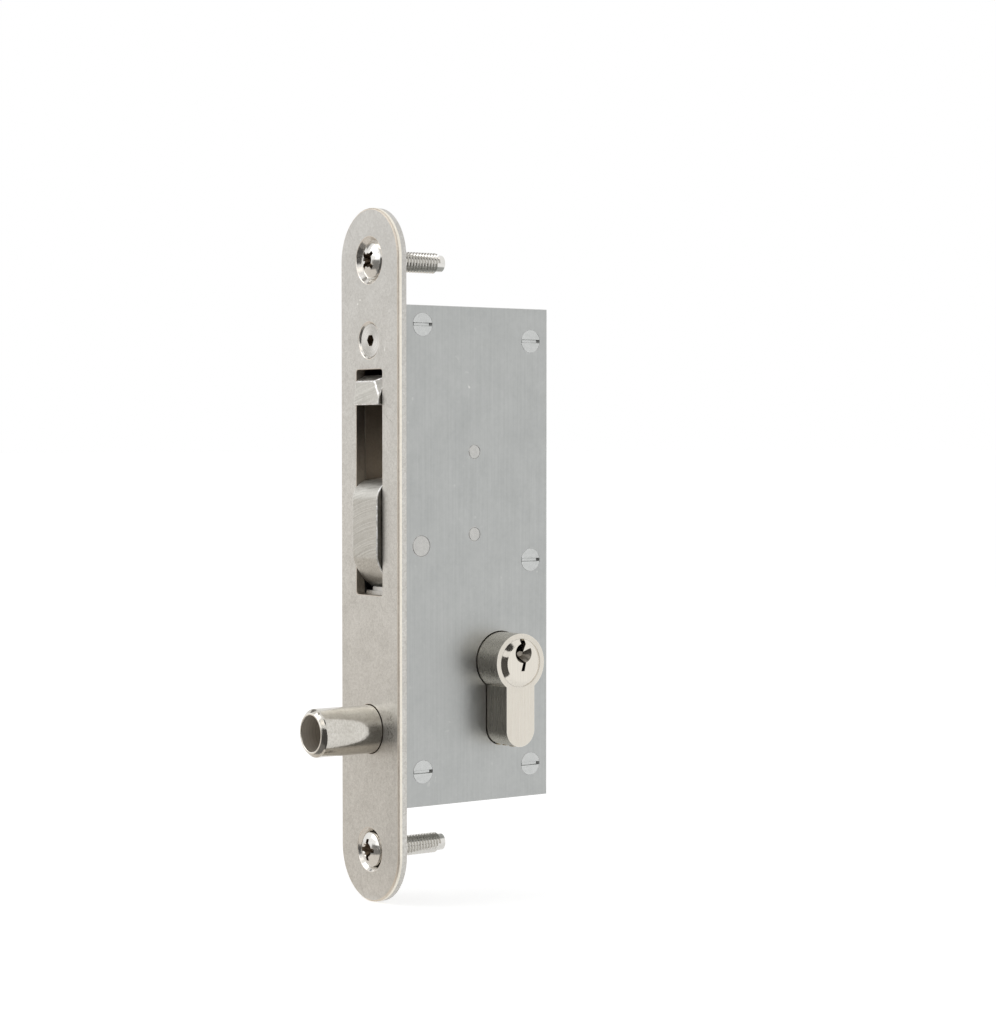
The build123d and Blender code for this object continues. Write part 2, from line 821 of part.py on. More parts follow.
def stack_chambers():
    """Vertical bores of the near half for driver pins and springs."""
    bores = rod_z(chamber_radius, chamber_floor, cylinder_height, stack_places[0], backset)
    for x in stack_places[1:]:
        bores += rod_z(chamber_radius, chamber_floor, cylinder_height, x, backset)
    return bores


def cylinder_housing():
    half = cylinder_half_length
    housing = side_extrude(profile_outline(), -half, half)
    housing -= rod_x(bore_radius, -half, half, backset, cylinder_height)
    flange_bore = plug_flange_radius + running_clearance
    for cut in both_sides(rod_x(flange_bore, half - plug_flange, half, backset, cylinder_height)):
        housing -= cut
    sweep_radius = cam_reach + cam_nose_radius + cam_sweep_clearance
    housing -= rod_x(sweep_radius, -gap_half, gap_half, backset, cylinder_height)
    for cut in both_sides(stack_chambers()):
        housing -= cut
    tapped = cylinder_screw_radius + seat_clearance
    return housing - rod_y(tapped, backset - leg_radius, backset + leg_radius, 0, pin_height)


def keyway_outline():
    """Zigzag key slot, seen from the key side, as offsets from the plug's axis."""
    offsets = [(0.05, 7.6), (1.3, 7.6), (1.1, 5.7), (0.0, 3.35), (-1.5, 2.55), (0.85, 0.25), (1.1, 0.1),
               (0.56, keyway_floor), (-0.65, keyway_floor), (0.05, 0.0), (-2.3, 2.1), (-2.4, 3.1),
               (-0.65, 5.5), (-0.5, 6.5)]
    return polygon([(backset + y, cylinder_height + z) for y, z in offsets])


def keyway_mouth():
    """Conical recess around the key slot; a ward stays at the level of the face."""
    face = cylinder_half_length + plug_proud
    floor = face - keyway_mouth_depth
    y = backset + keyway_mouth_centre[0]
    z = cylinder_height + keyway_mouth_centre[1]
    mouth = cone_x(keyway_mouth_floor_radius, keyway_mouth_radius, floor, face, y, z)
    ward = [(0.0, 3.35), (3.4, 4.6), (3.4, 7.0), (1.1, 7.0), (1.1, 5.7)]
    corners = [(backset + across, cylinder_height + up) for across, up in ward]
    return mouth - side_extrude(polygon(corners), floor, face)


def plug():
    """Plug of the near side, without the slot for the clutch."""
    y = backset
    z = cylinder_height
    outer = cylinder_half_length
    collar_face = ring_inner_face - ring_collar
    body = rod_x(plug_radius, collar_face, outer, y, z)
    groove_radius = plug_radius - ring_groove_depth
    body -= tube_x(plug_radius + join, groove_radius, ring_inner_face, ring_outer_face, y, z)
    body += rod_x(plug_flange_radius, outer - plug_flange + running_clearance, outer, y, z)
    body += cone_x(plug_flange_radius, plug_face_radius, outer, outer + plug_proud, y, z)
    body += rod_x(spigot_radius, spigot_gap, ring_inner_face, y, z)
    keyway_start = ring_outer_face + join
    body -= side_extrude(keyway_outline(), keyway_start, outer + plug_proud)
    body -= keyway_mouth()
    chamber_top = z + keyway_floor + key_pin_rise + 2 * spring_seat_gap
    for x in stack_places:
        body -= rod_z(chamber_radius, z - plug_radius - join, chamber_top, x, y)
    return body


def tongue(clearance=0.0):
    """Tongue of the clutch, which also cuts its slot when given a clearance."""
    half_height = tongue_width / 2 + clearance
    half_depth = tongue_length / 2 + clearance
    end = clutch_half_width + tongue_depth + clearance
    return box(0, end, backset - half_depth, backset + half_depth,
               cylinder_height - half_height, cylinder_height + half_height)


def plug_near():
    return plug() - tongue(running_clearance)


def plug_far():
    return mirror(plug(), about=Plane.YZ)


def plug_ring():
    """Snap ring that keeps the near plug in the housing."""
    inner = plug_radius - ring_groove_depth + seat_clearance
    x0 = ring_inner_face + seat_clearance
    ring = tube_x(ring_outer_radius, inner, x0, ring_outer_face - seat_clearance, backset, cylinder_height)
    half = ring_opening / 2
    opening = box(x0, ring_outer_face, backset - half, backset + half,
                  cylinder_height, cylinder_height + ring_outer_radius + join)
    return ring - opening


def clutch():
    half = clutch_half_width
    radius = spigot_radius - running_clearance
    body = rod_x(radius, -half, half, backset, cylinder_height) + tongue()
    lug_top = cylinder_height + radius + clutch_lug_height
    lug = box(-half, half, backset - clutch_lug_width / 2, backset + clutch_lug_width / 2,
              cylinder_height, lug_top)
    return body + lug


def cam():
    """Cam ring with a round-ended nose, turned to the start of its working arc."""
    half = cam_width / 2
    axis = Pos(backset, cylinder_height)
    nose = Pos(-cam_reach / 2, 0) * Rectangle(cam_reach, 2 * cam_nose_radius)
    nose += Pos(-cam_reach, 0) * Circle(cam_nose_radius)
    outline = Circle(cam_ring_radius) + Rot(0, 0, cam_half_swing) * nose
    outline = outline - Circle(spigot_radius + running_clearance)
    lug_height = clutch_lug_height + spigot_radius + running_clearance
    key = Pos(0, lug_height / 2) * Rectangle(clutch_lug_width + 2 * running_clearance, lug_height)
    return side_extrude(axis * (outline - key), -half, half)


def key_pins():
    """Bottom pins of the near side, lifted to the shear line as by a fitting key."""
    pins = []
    low = cylinder_height - plug_radius + shear_gap
    point = Cone(stack_pin_radius, stack_pin_radius / 2, key_pin_tip)
    for x, cut in zip(stack_places, key_pin_cuts):
        top = cylinder_height + keyway_floor + key_pin_rise - cut
        tip = Pos(x, backset, top - key_pin_tip / 2) * point
        pins.append(rod_z(stack_pin_radius, low, top - key_pin_tip, x, backset) + tip)
    return pins


def driver_pins():
    low = driver_top - driver_pin_length
    return [rod_z(stack_pin_radius, low, driver_top, x, backset) for x in stack_places]


def pin_springs():
    top = driver_top - driver_pin_length - spring_seat_gap
    low = chamber_floor + spring_seat_gap
    radius = stack_pin_radius - stack_wire_radius - coil_clearance
    spring = coil(radius, stack_wire_radius, top - low, stack_turns)
    return [Pos(x, backset, low) * spring for x in stack_places]


def far(pieces):
    return [mirror(piece, about=Plane.YZ) for piece in pieces]


nodes = {
    "faceplate": faceplate(),
    "upper_fixing_screw": fixing_screw(upper_countersink_radius, fixing_height, upper_cross_turn),
    "lower_fixing_screw": fixing_screw(lower_countersink_radius, -fixing_height, lower_cross_turn),
    "case_screw": case_screw(),
    "case_body": case_body(),
    "case_cover": case_cover(),
    "cover_screws": cover_screws(),
    "floor_screws": floor_screws(),
    "upper_block": upper_block(),
    "lower_block": lower_block(),
    "case_pillars": case_pillars(),
    "hook": hook(),
    "hook_pin": hook_pin(),
    "hook_bushes": both_sides(hook_bush()),
    "hook_guides": both_sides(hook_guide()),
    "slide": slide(),
    "slide_pins": slide_pins(),
    "slide_spacers": slide_spacers(),
    "slide_spring": slide_spring(),
    "spring_rod": spring_rod(),
    "brake_block": brake_block(),
    "brake_plunger": brake_plunger(),
    "brake_spring": brake_spring(),
    "guide_pin": guide_pin(),
    "cylinder_screw": cylinder_screw(),
    "cylinder_housing": cylinder_housing(),
    "plug_near": plug_near(),
    "plug_far": plug_far(),
    "plug_ring_near": plug_ring(),
    "plug_ring_far": mirror(plug_ring(), about=Plane.YZ),
    "clutch": clutch(),
    "cam": cam(),
    "key_pins_near": key_pins(),
    "key_pins_far": far(key_pins()),
    "driver_pins_near": driver_pins(),
    "driver_pins_far": far(driver_pins()),
    "pin_springs_near": pin_springs(),
    "pin_springs_far": far(pin_springs()),
}

for node, solids in nodes.items():
    save(node, solids)

print("slide travel", round(slide_travel, 4))
print("cam swing", round(2 * cam_half_swing, 4))
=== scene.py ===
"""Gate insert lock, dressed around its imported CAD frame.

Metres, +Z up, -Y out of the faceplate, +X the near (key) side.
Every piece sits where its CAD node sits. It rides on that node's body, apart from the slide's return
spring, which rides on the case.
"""

import json
import math

import bmesh
import bpy
from mathutils import Matrix, Vector

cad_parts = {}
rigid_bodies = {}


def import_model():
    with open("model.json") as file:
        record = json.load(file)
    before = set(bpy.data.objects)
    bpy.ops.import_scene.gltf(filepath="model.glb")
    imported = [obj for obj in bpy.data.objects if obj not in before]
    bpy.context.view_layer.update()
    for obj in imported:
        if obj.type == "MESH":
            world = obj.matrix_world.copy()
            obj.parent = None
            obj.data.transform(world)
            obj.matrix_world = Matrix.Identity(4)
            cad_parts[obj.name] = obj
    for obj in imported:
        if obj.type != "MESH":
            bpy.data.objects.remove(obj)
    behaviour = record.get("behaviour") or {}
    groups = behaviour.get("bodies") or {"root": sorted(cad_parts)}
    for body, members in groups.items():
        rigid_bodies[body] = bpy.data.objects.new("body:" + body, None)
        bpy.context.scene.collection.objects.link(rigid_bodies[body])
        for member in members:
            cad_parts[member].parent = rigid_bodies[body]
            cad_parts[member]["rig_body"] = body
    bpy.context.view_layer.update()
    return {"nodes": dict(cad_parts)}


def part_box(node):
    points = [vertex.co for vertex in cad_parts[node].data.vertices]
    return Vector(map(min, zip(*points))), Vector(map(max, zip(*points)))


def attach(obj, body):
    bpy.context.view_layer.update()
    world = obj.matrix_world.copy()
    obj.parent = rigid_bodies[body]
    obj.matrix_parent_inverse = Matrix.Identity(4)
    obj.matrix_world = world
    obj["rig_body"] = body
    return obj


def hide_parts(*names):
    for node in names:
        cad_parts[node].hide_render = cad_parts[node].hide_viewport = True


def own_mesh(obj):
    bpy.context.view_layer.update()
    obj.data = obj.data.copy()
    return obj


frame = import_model()

mm = 0.001
hair = 0.001 * mm
round_steps = 96
smooth_angle = math.radians(32)
soften_angle = math.radians(35)
merge_angle = math.radians(0.5)

# Places and sizes read from the frame
plate_low, plate_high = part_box("faceplate")
plate_front = plate_low.y
plate_half_width = plate_high.x
pin_low, pin_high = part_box("guide_pin")
pin_height = (pin_low.z + pin_high.z) / 2
pin_radius = pin_high.x
upper_low, upper_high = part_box("upper_fixing_screw")
lower_low, lower_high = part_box("lower_fixing_screw")
upper_height = (upper_low.z + upper_high.z) / 2
lower_height = (lower_low.z + lower_high.z) / 2
fixing_end = upper_high.y
case_screw_low, case_screw_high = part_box("case_screw")
case_screw_height = (case_screw_low.z + case_screw_high.z) / 2
housing_low, housing_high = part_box("cylinder_housing")
cylinder_y = (housing_low.y + housing_high.y) / 2
leg_bottom = housing_low.z
chamber_low, chamber_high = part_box("driver_pins_near")
plug_low, plug_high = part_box("plug_near")
plug_height = (plug_low.z + plug_high.z) / 2

# Sizes of the faceplate and of what goes through it
plate_half_length = 100 * mm
plate_edge_break = 0.35 * mm
sheared_edge = 0.16 * mm
cut_depth = 1.3 * mm
slot_half_width = 6.8 * mm
slot_top = 53.7 * mm
slot_bottom = -11.3 * mm
slot_corner = 0.9 * mm
pin_hole = 7.15 * mm
upper_countersink = 6.8 * mm
lower_countersink = 6.4 * mm
case_countersink = 5.35 * mm
case_screw_hole = 2.75 * mm
shank_radius = 3.0 * mm
thread_root = 2.45 * mm
thread_pitch = 1.0 * mm
thread_start = 3.0 * mm
thread_runout = 0.6 * mm
thread_half_width = 0.44 * thread_pitch
thread_steps = 24
pin_bore = 5.2 * mm
recess_radius = 3.4 * mm
dome_height = 1.5 * mm
recess_depth = 0.12 * mm
recess_floor = 1.5 * mm
recess_growth = 1.09
head_growth = 0.93
head_seat_depth = 1.2 * mm
dome_cuts = 3

# Sizes of the hook, the cylinder and the softened edges
hook_tip_corner = Vector((0.524, -0.737, 0.431))
hook_burr = 0.3 * mm
hook_merge = 0.05 * mm
keyway_reach = 4.6 * mm
chamber_count = 4
chamber_radius = 1.4 * mm
case_edge = 0.15 * mm
case_screw_edge = 0.12 * mm
bright_edge = 0.1 * mm

# How far a face may turn from a direction and still count as facing it, as a cosine
facing_flat = 0.98
facing_corner = 0.97
facing_front = 0.8

# Where looks change: heights on the hook, depth of its throat, and heights on the slot's wall
hook_foot = (0.5 * mm, -0.8 * mm)
# Heights on the hook over which the painted shade in its throat deepens
hook_shade_rise = (22 * mm, 40 * mm)
hook_lobe = (39 * mm, 40 * mm)
hook_throat = (2 * mm, 5 * mm)
# Heights on the slot's wall where the painted shade deepens, and where it eases off again
wall_shade_start = (22 * mm, 38 * mm)
wall_shade_end = (48 * mm, 51 * mm)

# Turns of an effect: its Z laid along Y, or its X stood upright
along_y = (math.radians(90), 0, 0)
upright = (0, math.radians(90), 0)


# Effects that several materials share

grain_reach = 0.22
line_reach = 0.25
cloud_scale = 0.11
slight_bend = 0.99
full_bend = 0.80
scratch_length = 0.03
scratch_patches = 90.0
speckle_scale = 1800.0


def effect(name, inputs, outputs):
    """New shader node group, with its input and output nodes."""
    tree = bpy.data.node_groups.new(name, "ShaderNodeTree")
    for label, kind, value in inputs:
        socket = tree.interface.new_socket(label, in_out="INPUT", socket_type="NodeSocket" + kind)
        if value is not None:
            socket.default_value = value
    for label, kind in outputs:
        tree.interface.new_socket(label, in_out="OUTPUT", socket_type="NodeSocket" + kind)
    return tree, tree.nodes.new("NodeGroupInput").outputs, tree.nodes.new("NodeGroupOutput").inputs


def add(tree, kind, values=None, **settings):
    """Adds a shader node, sets its properties, and fills or links its inputs."""
    made = tree.nodes.new("ShaderNode" + kind)
    for key, value in settings.items():
        setattr(made, key, value)
    for key, value in (values or {}).items():
        if isinstance(value, bpy.types.NodeSocket):
            tree.links.new(value, made.inputs[key])
        else:
            made.inputs[key].default_value = value
    return made


def math_of(tree, operation, first, second=0.0, clamp=False):
    """Result of one sum on two values or sockets."""
    return add(tree, "Math", {0: first, 1: second}, operation=operation, use_clamp=clamp).outputs[0]


def spread(tree, value, low, high, to_low=0.0, to_high=1.0):
    """Value between low and high, spread over to_low and to_high."""
    levels = {"Value": value, "From Min": low, "From Max": high, "To Min": to_low, "To Max": to_high}
    return add(tree, "MapRange", levels).outputs["Result"]


def between(tree, factor, first, second):
    """Value between two values or sockets."""
    return add(tree, "Mix", {"Factor": factor, 2: first, 3: second}, data_type="FLOAT").outputs[0]


def noise_of(tree, vector, scale, detail=2.0, roughness=0.5):
    """Noise from 0 to 1, gathered about a half."""
    values = {"Vector": vector, "Scale": scale, "Detail": detail, "Roughness": roughness}
    return add(tree, "TexNoise", values).outputs["Fac"]


def widened(tree, noise, reach):
    """Noise spread over 0 to 1 from what lies within reach of a half."""
    return spread(tree, noise, 0.5 - reach, 0.5 + reach)


def parts_of(tree, vector):
    """X, Y and Z of a vector."""
    return add(tree, "SeparateXYZ", {"Vector": vector}).outputs


def drawn_out(tree, vector, length):
    """Vector with its X made shorter, so that a noise on it is drawn out along X."""
    parts = parts_of(tree, vector)
    short = math_of(tree, "MULTIPLY", parts["X"], length)
    return add(tree, "CombineXYZ", {"X": short, "Y": parts["Y"], "Z": parts["Z"]}).outputs[0]


def radius_of(tree, first, second):
    """Distance from an axis, from the two coordinates across it."""
    flat = add(tree, "CombineXYZ", {"X": first, "Y": second})
    return add(tree, "VectorMath", {0: flat.outputs[0]}, operation="LENGTH").outputs["Value"]


def grain_effect():
    """Fine mottling over broad, faint clouds, as on tumbled metal."""
    tree, given, made = effect("fine grain", [("Vector", "Vector", None), ("Scale", "Float", 2000.0),
                                              ("Clouds", "Float", 0.4)],
                               [("Tone", "Float"), ("Height", "Float")])
    fine = noise_of(tree, given["Vector"], given["Scale"], 3.0, 0.65)
    broad_scale = math_of(tree, "MULTIPLY", given["Scale"], cloud_scale)
    broad = noise_of(tree, given["Vector"], broad_scale, 3.0, 0.6)
    tones = widened(tree, fine, grain_reach), widened(tree, broad, grain_reach)
    tree.links.new(between(tree, given["Clouds"], *tones), made["Tone"])
    tree.links.new(fine, made["Height"])
    return tree


def line_effect():
    """Fine straight marks along the X of the vector that it is given."""
    tree, given, made = effect("line grain", [("Vector", "Vector", None), ("Scale", "Float", 3000.0),
                                              ("Length", "Float", 0.02)],
                               [("Tone", "Float"), ("Height", "Float")])
    drawn = drawn_out(tree, given["Vector"], given["Length"])
    fine = noise_of(tree, drawn, given["Scale"], 3.0, 0.6)
    tree.links.new(widened(tree, fine, line_reach), made["Tone"])
    tree.links.new(fine, made["Height"])
    return tree


def ring_effect():
    """Turning marks round the Z axis of the vector that it is given."""
    tree, given, made = effect("turning rings", [("Vector", "Vector", None), ("Spacing", "Float", 0.18 * mm),
                                                 ("Break", "Float", 0.0)],
                               [("Tone", "Float"), ("Height", "Float")])
    parts = parts_of(tree, given["Vector"])
    radius = radius_of(tree, parts["X"], parts["Y"])
    turns = math_of(tree, "DIVIDE", radius, given["Spacing"])
    along = math_of(tree, "DIVIDE", parts["Z"], given["Spacing"])
    round_part = math_of(tree, "MULTIPLY", math_of(tree, "ARCTAN2", parts["Y"], parts["X"]), given["Break"])
    place = add(tree, "CombineXYZ", {"X": turns, "Y": along, "Z": round_part})
    fine = noise_of(tree, place.outputs[0], 1.0, 2.0, 0.6)
    tree.links.new(widened(tree, fine, line_reach), made["Tone"])
    tree.links.new(fine, made["Height"])
    return tree


def wear_and_highlight_effect():
    """Mask of the edges, broken up by a noise: wear from handling, and a painted highlight along them."""
    tree, given, made = effect("edge wear and highlight", [("Vector", "Vector", None), ("Width", "Float", 0.3 * mm),
                                             ("Amount", "Float", 1.0), ("Break", "Float", 1400.0)],
                               [("Mask", "Float")])
    rounded = add(tree, "Bevel", {"Radius": given["Width"]}, samples=4).outputs["Normal"]
    flat = add(tree, "NewGeometry").outputs["Normal"]
    match = add(tree, "VectorMath", {0: rounded, 1: flat}, operation="DOT_PRODUCT").outputs["Value"]
    edge = spread(tree, match, slight_bend, full_bend)
    noise = noise_of(tree, given["Vector"], given["Break"])
    broken = math_of(tree, "MULTIPLY", edge, spread(tree, noise, 0.3, 0.6, 0.3, 1.0))
    tree.links.new(math_of(tree, "MULTIPLY", broken, given["Amount"], clamp=True), made["Mask"])
    return tree


def scratch_effect():
    """Sparse hairline scratches along the X of the vector that it is given."""
    tree, given, made = effect("scratches", [("Vector", "Vector", None), ("Scale", "Float", 900.0),
                                             ("Share", "Float", 0.1)], [("Mask", "Float")])
    lines = noise_of(tree, drawn_out(tree, given["Vector"], scratch_length), given["Scale"], 1.0)
    line = spread(tree, lines, 0.66, 0.72)
    where = noise_of(tree, given["Vector"], scratch_patches, 1.0)
    start = math_of(tree, "SUBTRACT", 0.75, given["Share"])
    patch = spread(tree, where, start, 0.8)
    tree.links.new(math_of(tree, "MULTIPLY", line, patch, clamp=True), made["Mask"])
    return tree


def mark_effect():
    """Oval patch that fills the unit circle of the vector's X and Z, with a soft and broken rim."""
    tree, given, made = effect("mark", [("Vector", "Vector", None), ("Soft", "Float", 0.5),
                                        ("Speckle", "Float", 0.0), ("Place", "Vector", None)],
                               [("Mask", "Float")])
    parts = parts_of(tree, given["Vector"])
    radius = radius_of(tree, parts["X"], parts["Z"])
    level = spread(tree, radius, 1.0, math_of(tree, "SUBTRACT", 1.0, given["Soft"]))
    dots = spread(tree, noise_of(tree, given["Place"], speckle_scale, 3.0, 0.7), 0.48, 0.6)
    broken = between(tree, given["Speckle"], 1.0, dots)
    tree.links.new(math_of(tree, "MULTIPLY", level, broken, clamp=True), made["Mask"])
    return tree


fine_grain = grain_effect()
line_grain = line_effect()
turning_rings = ring_effect()
edge_wear_and_highlight = wear_and_highlight_effect()
scratches = scratch_effect()
mark = mark_effect()


class Finish:
    """One material under construction: a metal whose colour, roughness and relief come from effects."""

    def __init__(self, name):
        """New metal, with its shader and the place on the object ready."""
        self.material = bpy.data.materials.new(name)
        self.material.use_nodes = True
        self.tree = self.material.node_tree
        self.shader = self.tree.nodes["Principled BSDF"]
        self.metallic(1.0)
        self.place = add(self.tree, "TexCoord").outputs["Object"]

    def metallic(self, level):
        """Plain level of metal, lower where oxide or oil covers it."""
        self.shader.inputs["Metallic"].default_value = level

    def turned(self, centre=(0, 0, 0), turn=(0, 0, 0), size=(1, 1, 1)):
        """Object coordinates about a centre, with the axes turned and measured in the given size."""
        values = {"Vector": self.place, "Location": centre, "Rotation": turn, "Scale": size}
        return add(self.tree, "Mapping", values, vector_type="TEXTURE").outputs["Vector"]

    def effect(self, group, vector=None, **values):
        """Outputs of a shared effect, placed with its own values."""
        return add(self.tree, "Group", {"Vector": vector or self.place, **values}, node_tree=group).outputs

    def mix(self, factor, first, second):
        """Colour between two colours or sockets."""
        blend = add(self.tree, "Mix", {"Factor": factor}, data_type="RGBA")
        for socket, value in ((blend.inputs[6], first), (blend.inputs[7], second)):
            if isinstance(value, bpy.types.NodeSocket):
                self.tree.links.new(value, socket)
            else:
                socket.default_value = (*value, 1)
        return blend.outputs[2]

    def dull(self, mask, metallic):
        """Makes the metal less metallic where the mask is, as under oxide or old oil."""
        self.tree.links.new(spread(self.tree, mask, 0.0, 1.0, 1.0, metallic), self.shader.inputs["Metallic"])

    def colour(self, socket):
        """Base colour."""
        self.tree.links.new(socket, self.shader.inputs["Base Color"])

    def rough(self, value, low, high):
        """Roughness from low to high as the value goes from 0 to 1."""
        rough = spread(self.tree, value, 0.0, 1.0, low, high)
        self.tree.links.new(rough, self.shader.inputs["Roughness"])

    def relief(self, height, depth, strength):
        """Bump of a real depth in metres."""
        bump = add(self.tree, "Bump", {"Height": height, "Distance": depth, "Strength": strength})
        self.tree.links.new(bump.outputs["Normal"], self.shader.inputs["Normal"])


# Wear marks of the faceplate: centre x and z, half length and half width in mm, turn in degrees,
# how far the mark shows, and how much of it is speckle
plate_marks = [
    (9.25, 39.95, 1.25, 0.11, 44, 0.75, 0.0),
    (11.25, 38.85, 1.45, 0.11, 33, 0.75, 0.0),
    (7.8, 46.0, 0.5, 2.6, 0, 0.45, 0.6),
    (7.6, 8.5, 0.35, 11.5, 0, 0.45, 0.9),
    (10.7, -49.0, 3.2, 6.6, 0, 0.8, 1.0),
    (-2.4, 47.0, 4.0, 0.1, 80, 0.3, 0.0),
]
bright_marks = [(-4.7, 73.8, 0.45, 0.35, 0, 0.8, 0.0), (-6.0, 72.7, 0.4, 0.3, 0, 0.7, 0.0),
                (8.1, 59.2, 0.5, 0.9, 0, 0.6, 0.5)]


def marked(made, base, marks, tone):
    """Colour with wear marks of one tone laid on it."""
    for x, z, half_length, half_width, turn, level, speckle in marks:
        local = made.turned((x * mm, 0, z * mm), (0, math.radians(turn), 0),
                            (half_length * mm, 1, half_width * mm))
        patch = made.effect(mark, local, Soft=0.6, Speckle=speckle, Place=made.place)["Mask"]
        base = made.mix(math_of(made.tree, "MULTIPLY", patch, level), base, tone)
    return base


def satin_stainless():
    """Tumbled stainless sheet: grey grain, faint clouds, a few marks, and painted shade towards the top."""
    made = Finish("satin stainless")
    grain = made.effect(fine_grain, Scale=1500.0, Clouds=0.3)
    specks = made.effect(fine_grain, Scale=3300.0, Clouds=0.0)
    base = made.mix(grain["Tone"], (0.475, 0.455, 0.415), (0.80, 0.785, 0.745))
    base = made.mix(0.3, base, made.mix(specks["Tone"], (0.35, 0.33, 0.30), (0.95, 0.93, 0.89)))
    # Painted shade: the plate turns darker and cooler towards its top
    height = parts_of(made.tree, made.place)["Z"]
    base = made.mix(spread(made.tree, height, 10 * mm, 90 * mm, 0.0, 0.3), base, (0.44, 0.435, 0.425))
    scuffs = made.effect(scratches, made.turned(turn=(0, math.radians(58), 0)), Scale=700.0, Share=0.16)
    base = made.mix(scuffs["Mask"], base, (0.40, 0.38, 0.35))
    base = marked(made, base, plate_marks, (0.25, 0.23, 0.20))
    made.colour(marked(made, base, bright_marks, (0.95, 0.94, 0.91)))
    made.metallic(0.85)
    made.rough(grain["Tone"], 0.46, 0.34)
    made.relief(grain["Height"], 0.03 * mm, 0.6)
    return made.material


def shaded_slot_wall():
    """Wall of the hook's slot, darker than the plate, with painted shade that deepens towards the hook's
    lobe.
    """
    made = Finish("shaded slot wall")
    grain = made.effect(fine_grain, Scale=1300.0, Clouds=0.5)
    # Painted shade: the wall's lighter tone, and the darker tone that it turns to under the hook's lobe
    clean = made.mix(grain["Tone"], (0.32, 0.285, 0.24), (0.52, 0.48, 0.42))
    shade_tone = made.mix(grain["Tone"], (0.12, 0.105, 0.09), (0.21, 0.19, 0.165))
    height = parts_of(made.tree, made.place)["Z"]
    rise = spread(made.tree, height, *wall_shade_start)
    fall = spread(made.tree, height, *wall_shade_end, 1.0, 0.0)
    made.colour(made.mix(math_of(made.tree, "MULTIPLY", rise, fall), clean, shade_tone))
    made.rough(grain["Tone"], 0.45, 0.6)
    made.relief(grain["Height"], 0.03 * mm, 0.6)
    return made.material


def turned_steel():
    """Flat screw head with the rings that the turning tool left, and a painted sheen across two opposite
    sectors.
    """
    made = Finish("turned steel")
    about = made.turned((0, 0, case_screw_height), along_y)
    rings = made.effect(turning_rings, about, Spacing=0.3 * mm)
    # Painted sheen: the colour turns lighter and darker round the head, twice in a turn
    sheen_turn = math.radians(60)
    parts = parts_of(made.tree, about)
    angle = math_of(made.tree, "ARCTAN2", parts["Y"], parts["X"])
    twice = math_of(made.tree, "ADD", math_of(made.tree, "MULTIPLY", angle, 2.0), sheen_turn)
    painted_sheen = spread(made.tree, math_of(made.tree, "COSINE", twice), -1.0, 1.0)
    tone = between(made.tree, 0.35, painted_sheen, rings["Tone"])
    made.colour(made.mix(tone, (0.42, 0.405, 0.375), (0.745, 0.725, 0.69)))
    made.rough(rings["Tone"], 0.2, 0.3)
    made.relief(rings["Height"], 0.01 * mm, 0.5)
    return made.material


def polished_pin():
    """Ground and polished tube, with a fine orange peel and rings that are only just seen."""
    made = Finish("polished pin")
    about = made.turned((0, 0, pin_height), along_y)
    rings = made.effect(turning_rings, about, Spacing=0.12 * mm)
    grain = made.effect(fine_grain, Scale=1500.0, Clouds=0.3)
    base = made.mix(rings["Tone"], (0.56, 0.53, 0.475), (0.66, 0.64, 0.59))
    made.colour(made.mix(0.5, base, made.mix(grain["Tone"], (0.34, 0.31, 0.26), (0.84, 0.82, 0.77))))
    made.rough(grain["Tone"], 0.08, 0.17)
    made.relief(grain["Height"], 0.03 * mm, 0.6)
    return made.material


def drilled_bore():
    """Inside of the guide pin: drilled, unpolished and a little brown."""
    made = Finish("drilled bore")
    made.metallic(0.45)
    about = made.turned((0, 0, pin_height), along_y)
    rings = made.effect(turning_rings, about, Spacing=0.35 * mm)
    made.colour(made.mix(rings["Tone"], (0.50, 0.45, 0.38), (0.68, 0.63, 0.56)))
    made.rough(rings["Tone"], 0.3, 0.42)
    made.relief(rings["Height"], 0.02 * mm, 0.4)
    return made.material


def ground_hook():
    """Hook bolt with coarse grinding marks that curve up to the right; dull in its throat, with painted shade
    there that darkens towards the lobe.
    """
    made = Finish("ground hook")
    arcs = made.turned((10.5 * mm, 0, -32 * mm), along_y)
    shank_marks = made.effect(turning_rings, arcs, Spacing=0.5 * mm, Break=1.2)
    slant = made.turned(turn=(0, math.radians(-14), 0))
    lobe_marks = made.effect(line_grain, slant, Scale=1500.0, Length=0.035)
    parts = parts_of(made.tree, made.place)
    lobe = spread(made.tree, parts["Z"], *hook_lobe)
    foot = spread(made.tree, parts["Z"], *hook_foot)
    marks = between(made.tree, lobe, shank_marks["Tone"], lobe_marks["Tone"])
    relief = between(made.tree, lobe, shank_marks["Height"], lobe_marks["Height"])
    grain = made.effect(fine_grain, Scale=1900.0, Clouds=0.25)
    base = made.mix(marks, (0.36, 0.345, 0.31), (0.76, 0.75, 0.71))
    plain = made.mix(grain["Tone"], (0.36, 0.345, 0.31), (0.74, 0.73, 0.69))
    base = made.mix(between(made.tree, foot, 0.4, 0.9), base, plain)
    inner = spread(made.tree, parts["Y"], *hook_throat)
    # Painted light and shade in the throat: near white low down, dark under the lobe
    throat_shade = spread(made.tree, parts["Z"], *hook_shade_rise)
    shade_tone = made.mix(throat_shade, (0.98, 0.90, 0.80), (0.34, 0.30, 0.265))
    made.colour(made.mix(inner, base, shade_tone))
    made.rough(between(made.tree, inner, marks, 1.0), 0.34, 0.5)
    made.dull(inner, 0.3)
    made.relief(math_of(made.tree, "MULTIPLY", relief, between(made.tree, foot, 1.0, 0.0)), 0.09 * mm, 0.9)
    return made.material


def burred_edge_highlight():
    """Edges of the hook: a broken burr that grinding left, with painted highlights in near-white dots."""
    made = Finish("burred edge highlight")
    dots = noise_of(made.tree, made.place, 1000.0, 1.0)
    painted_glint = spread(made.tree, dots, 0.42, 0.56)
    made.colour(made.mix(painted_glint, (0.72, 0.70, 0.66), (1.0, 0.995, 0.985)))
    made.rough(painted_glint, 0.45, 0.3)
    made.metallic(0.8)
    made.relief(dots, 0.3 * mm, 1.0)
    return made.material


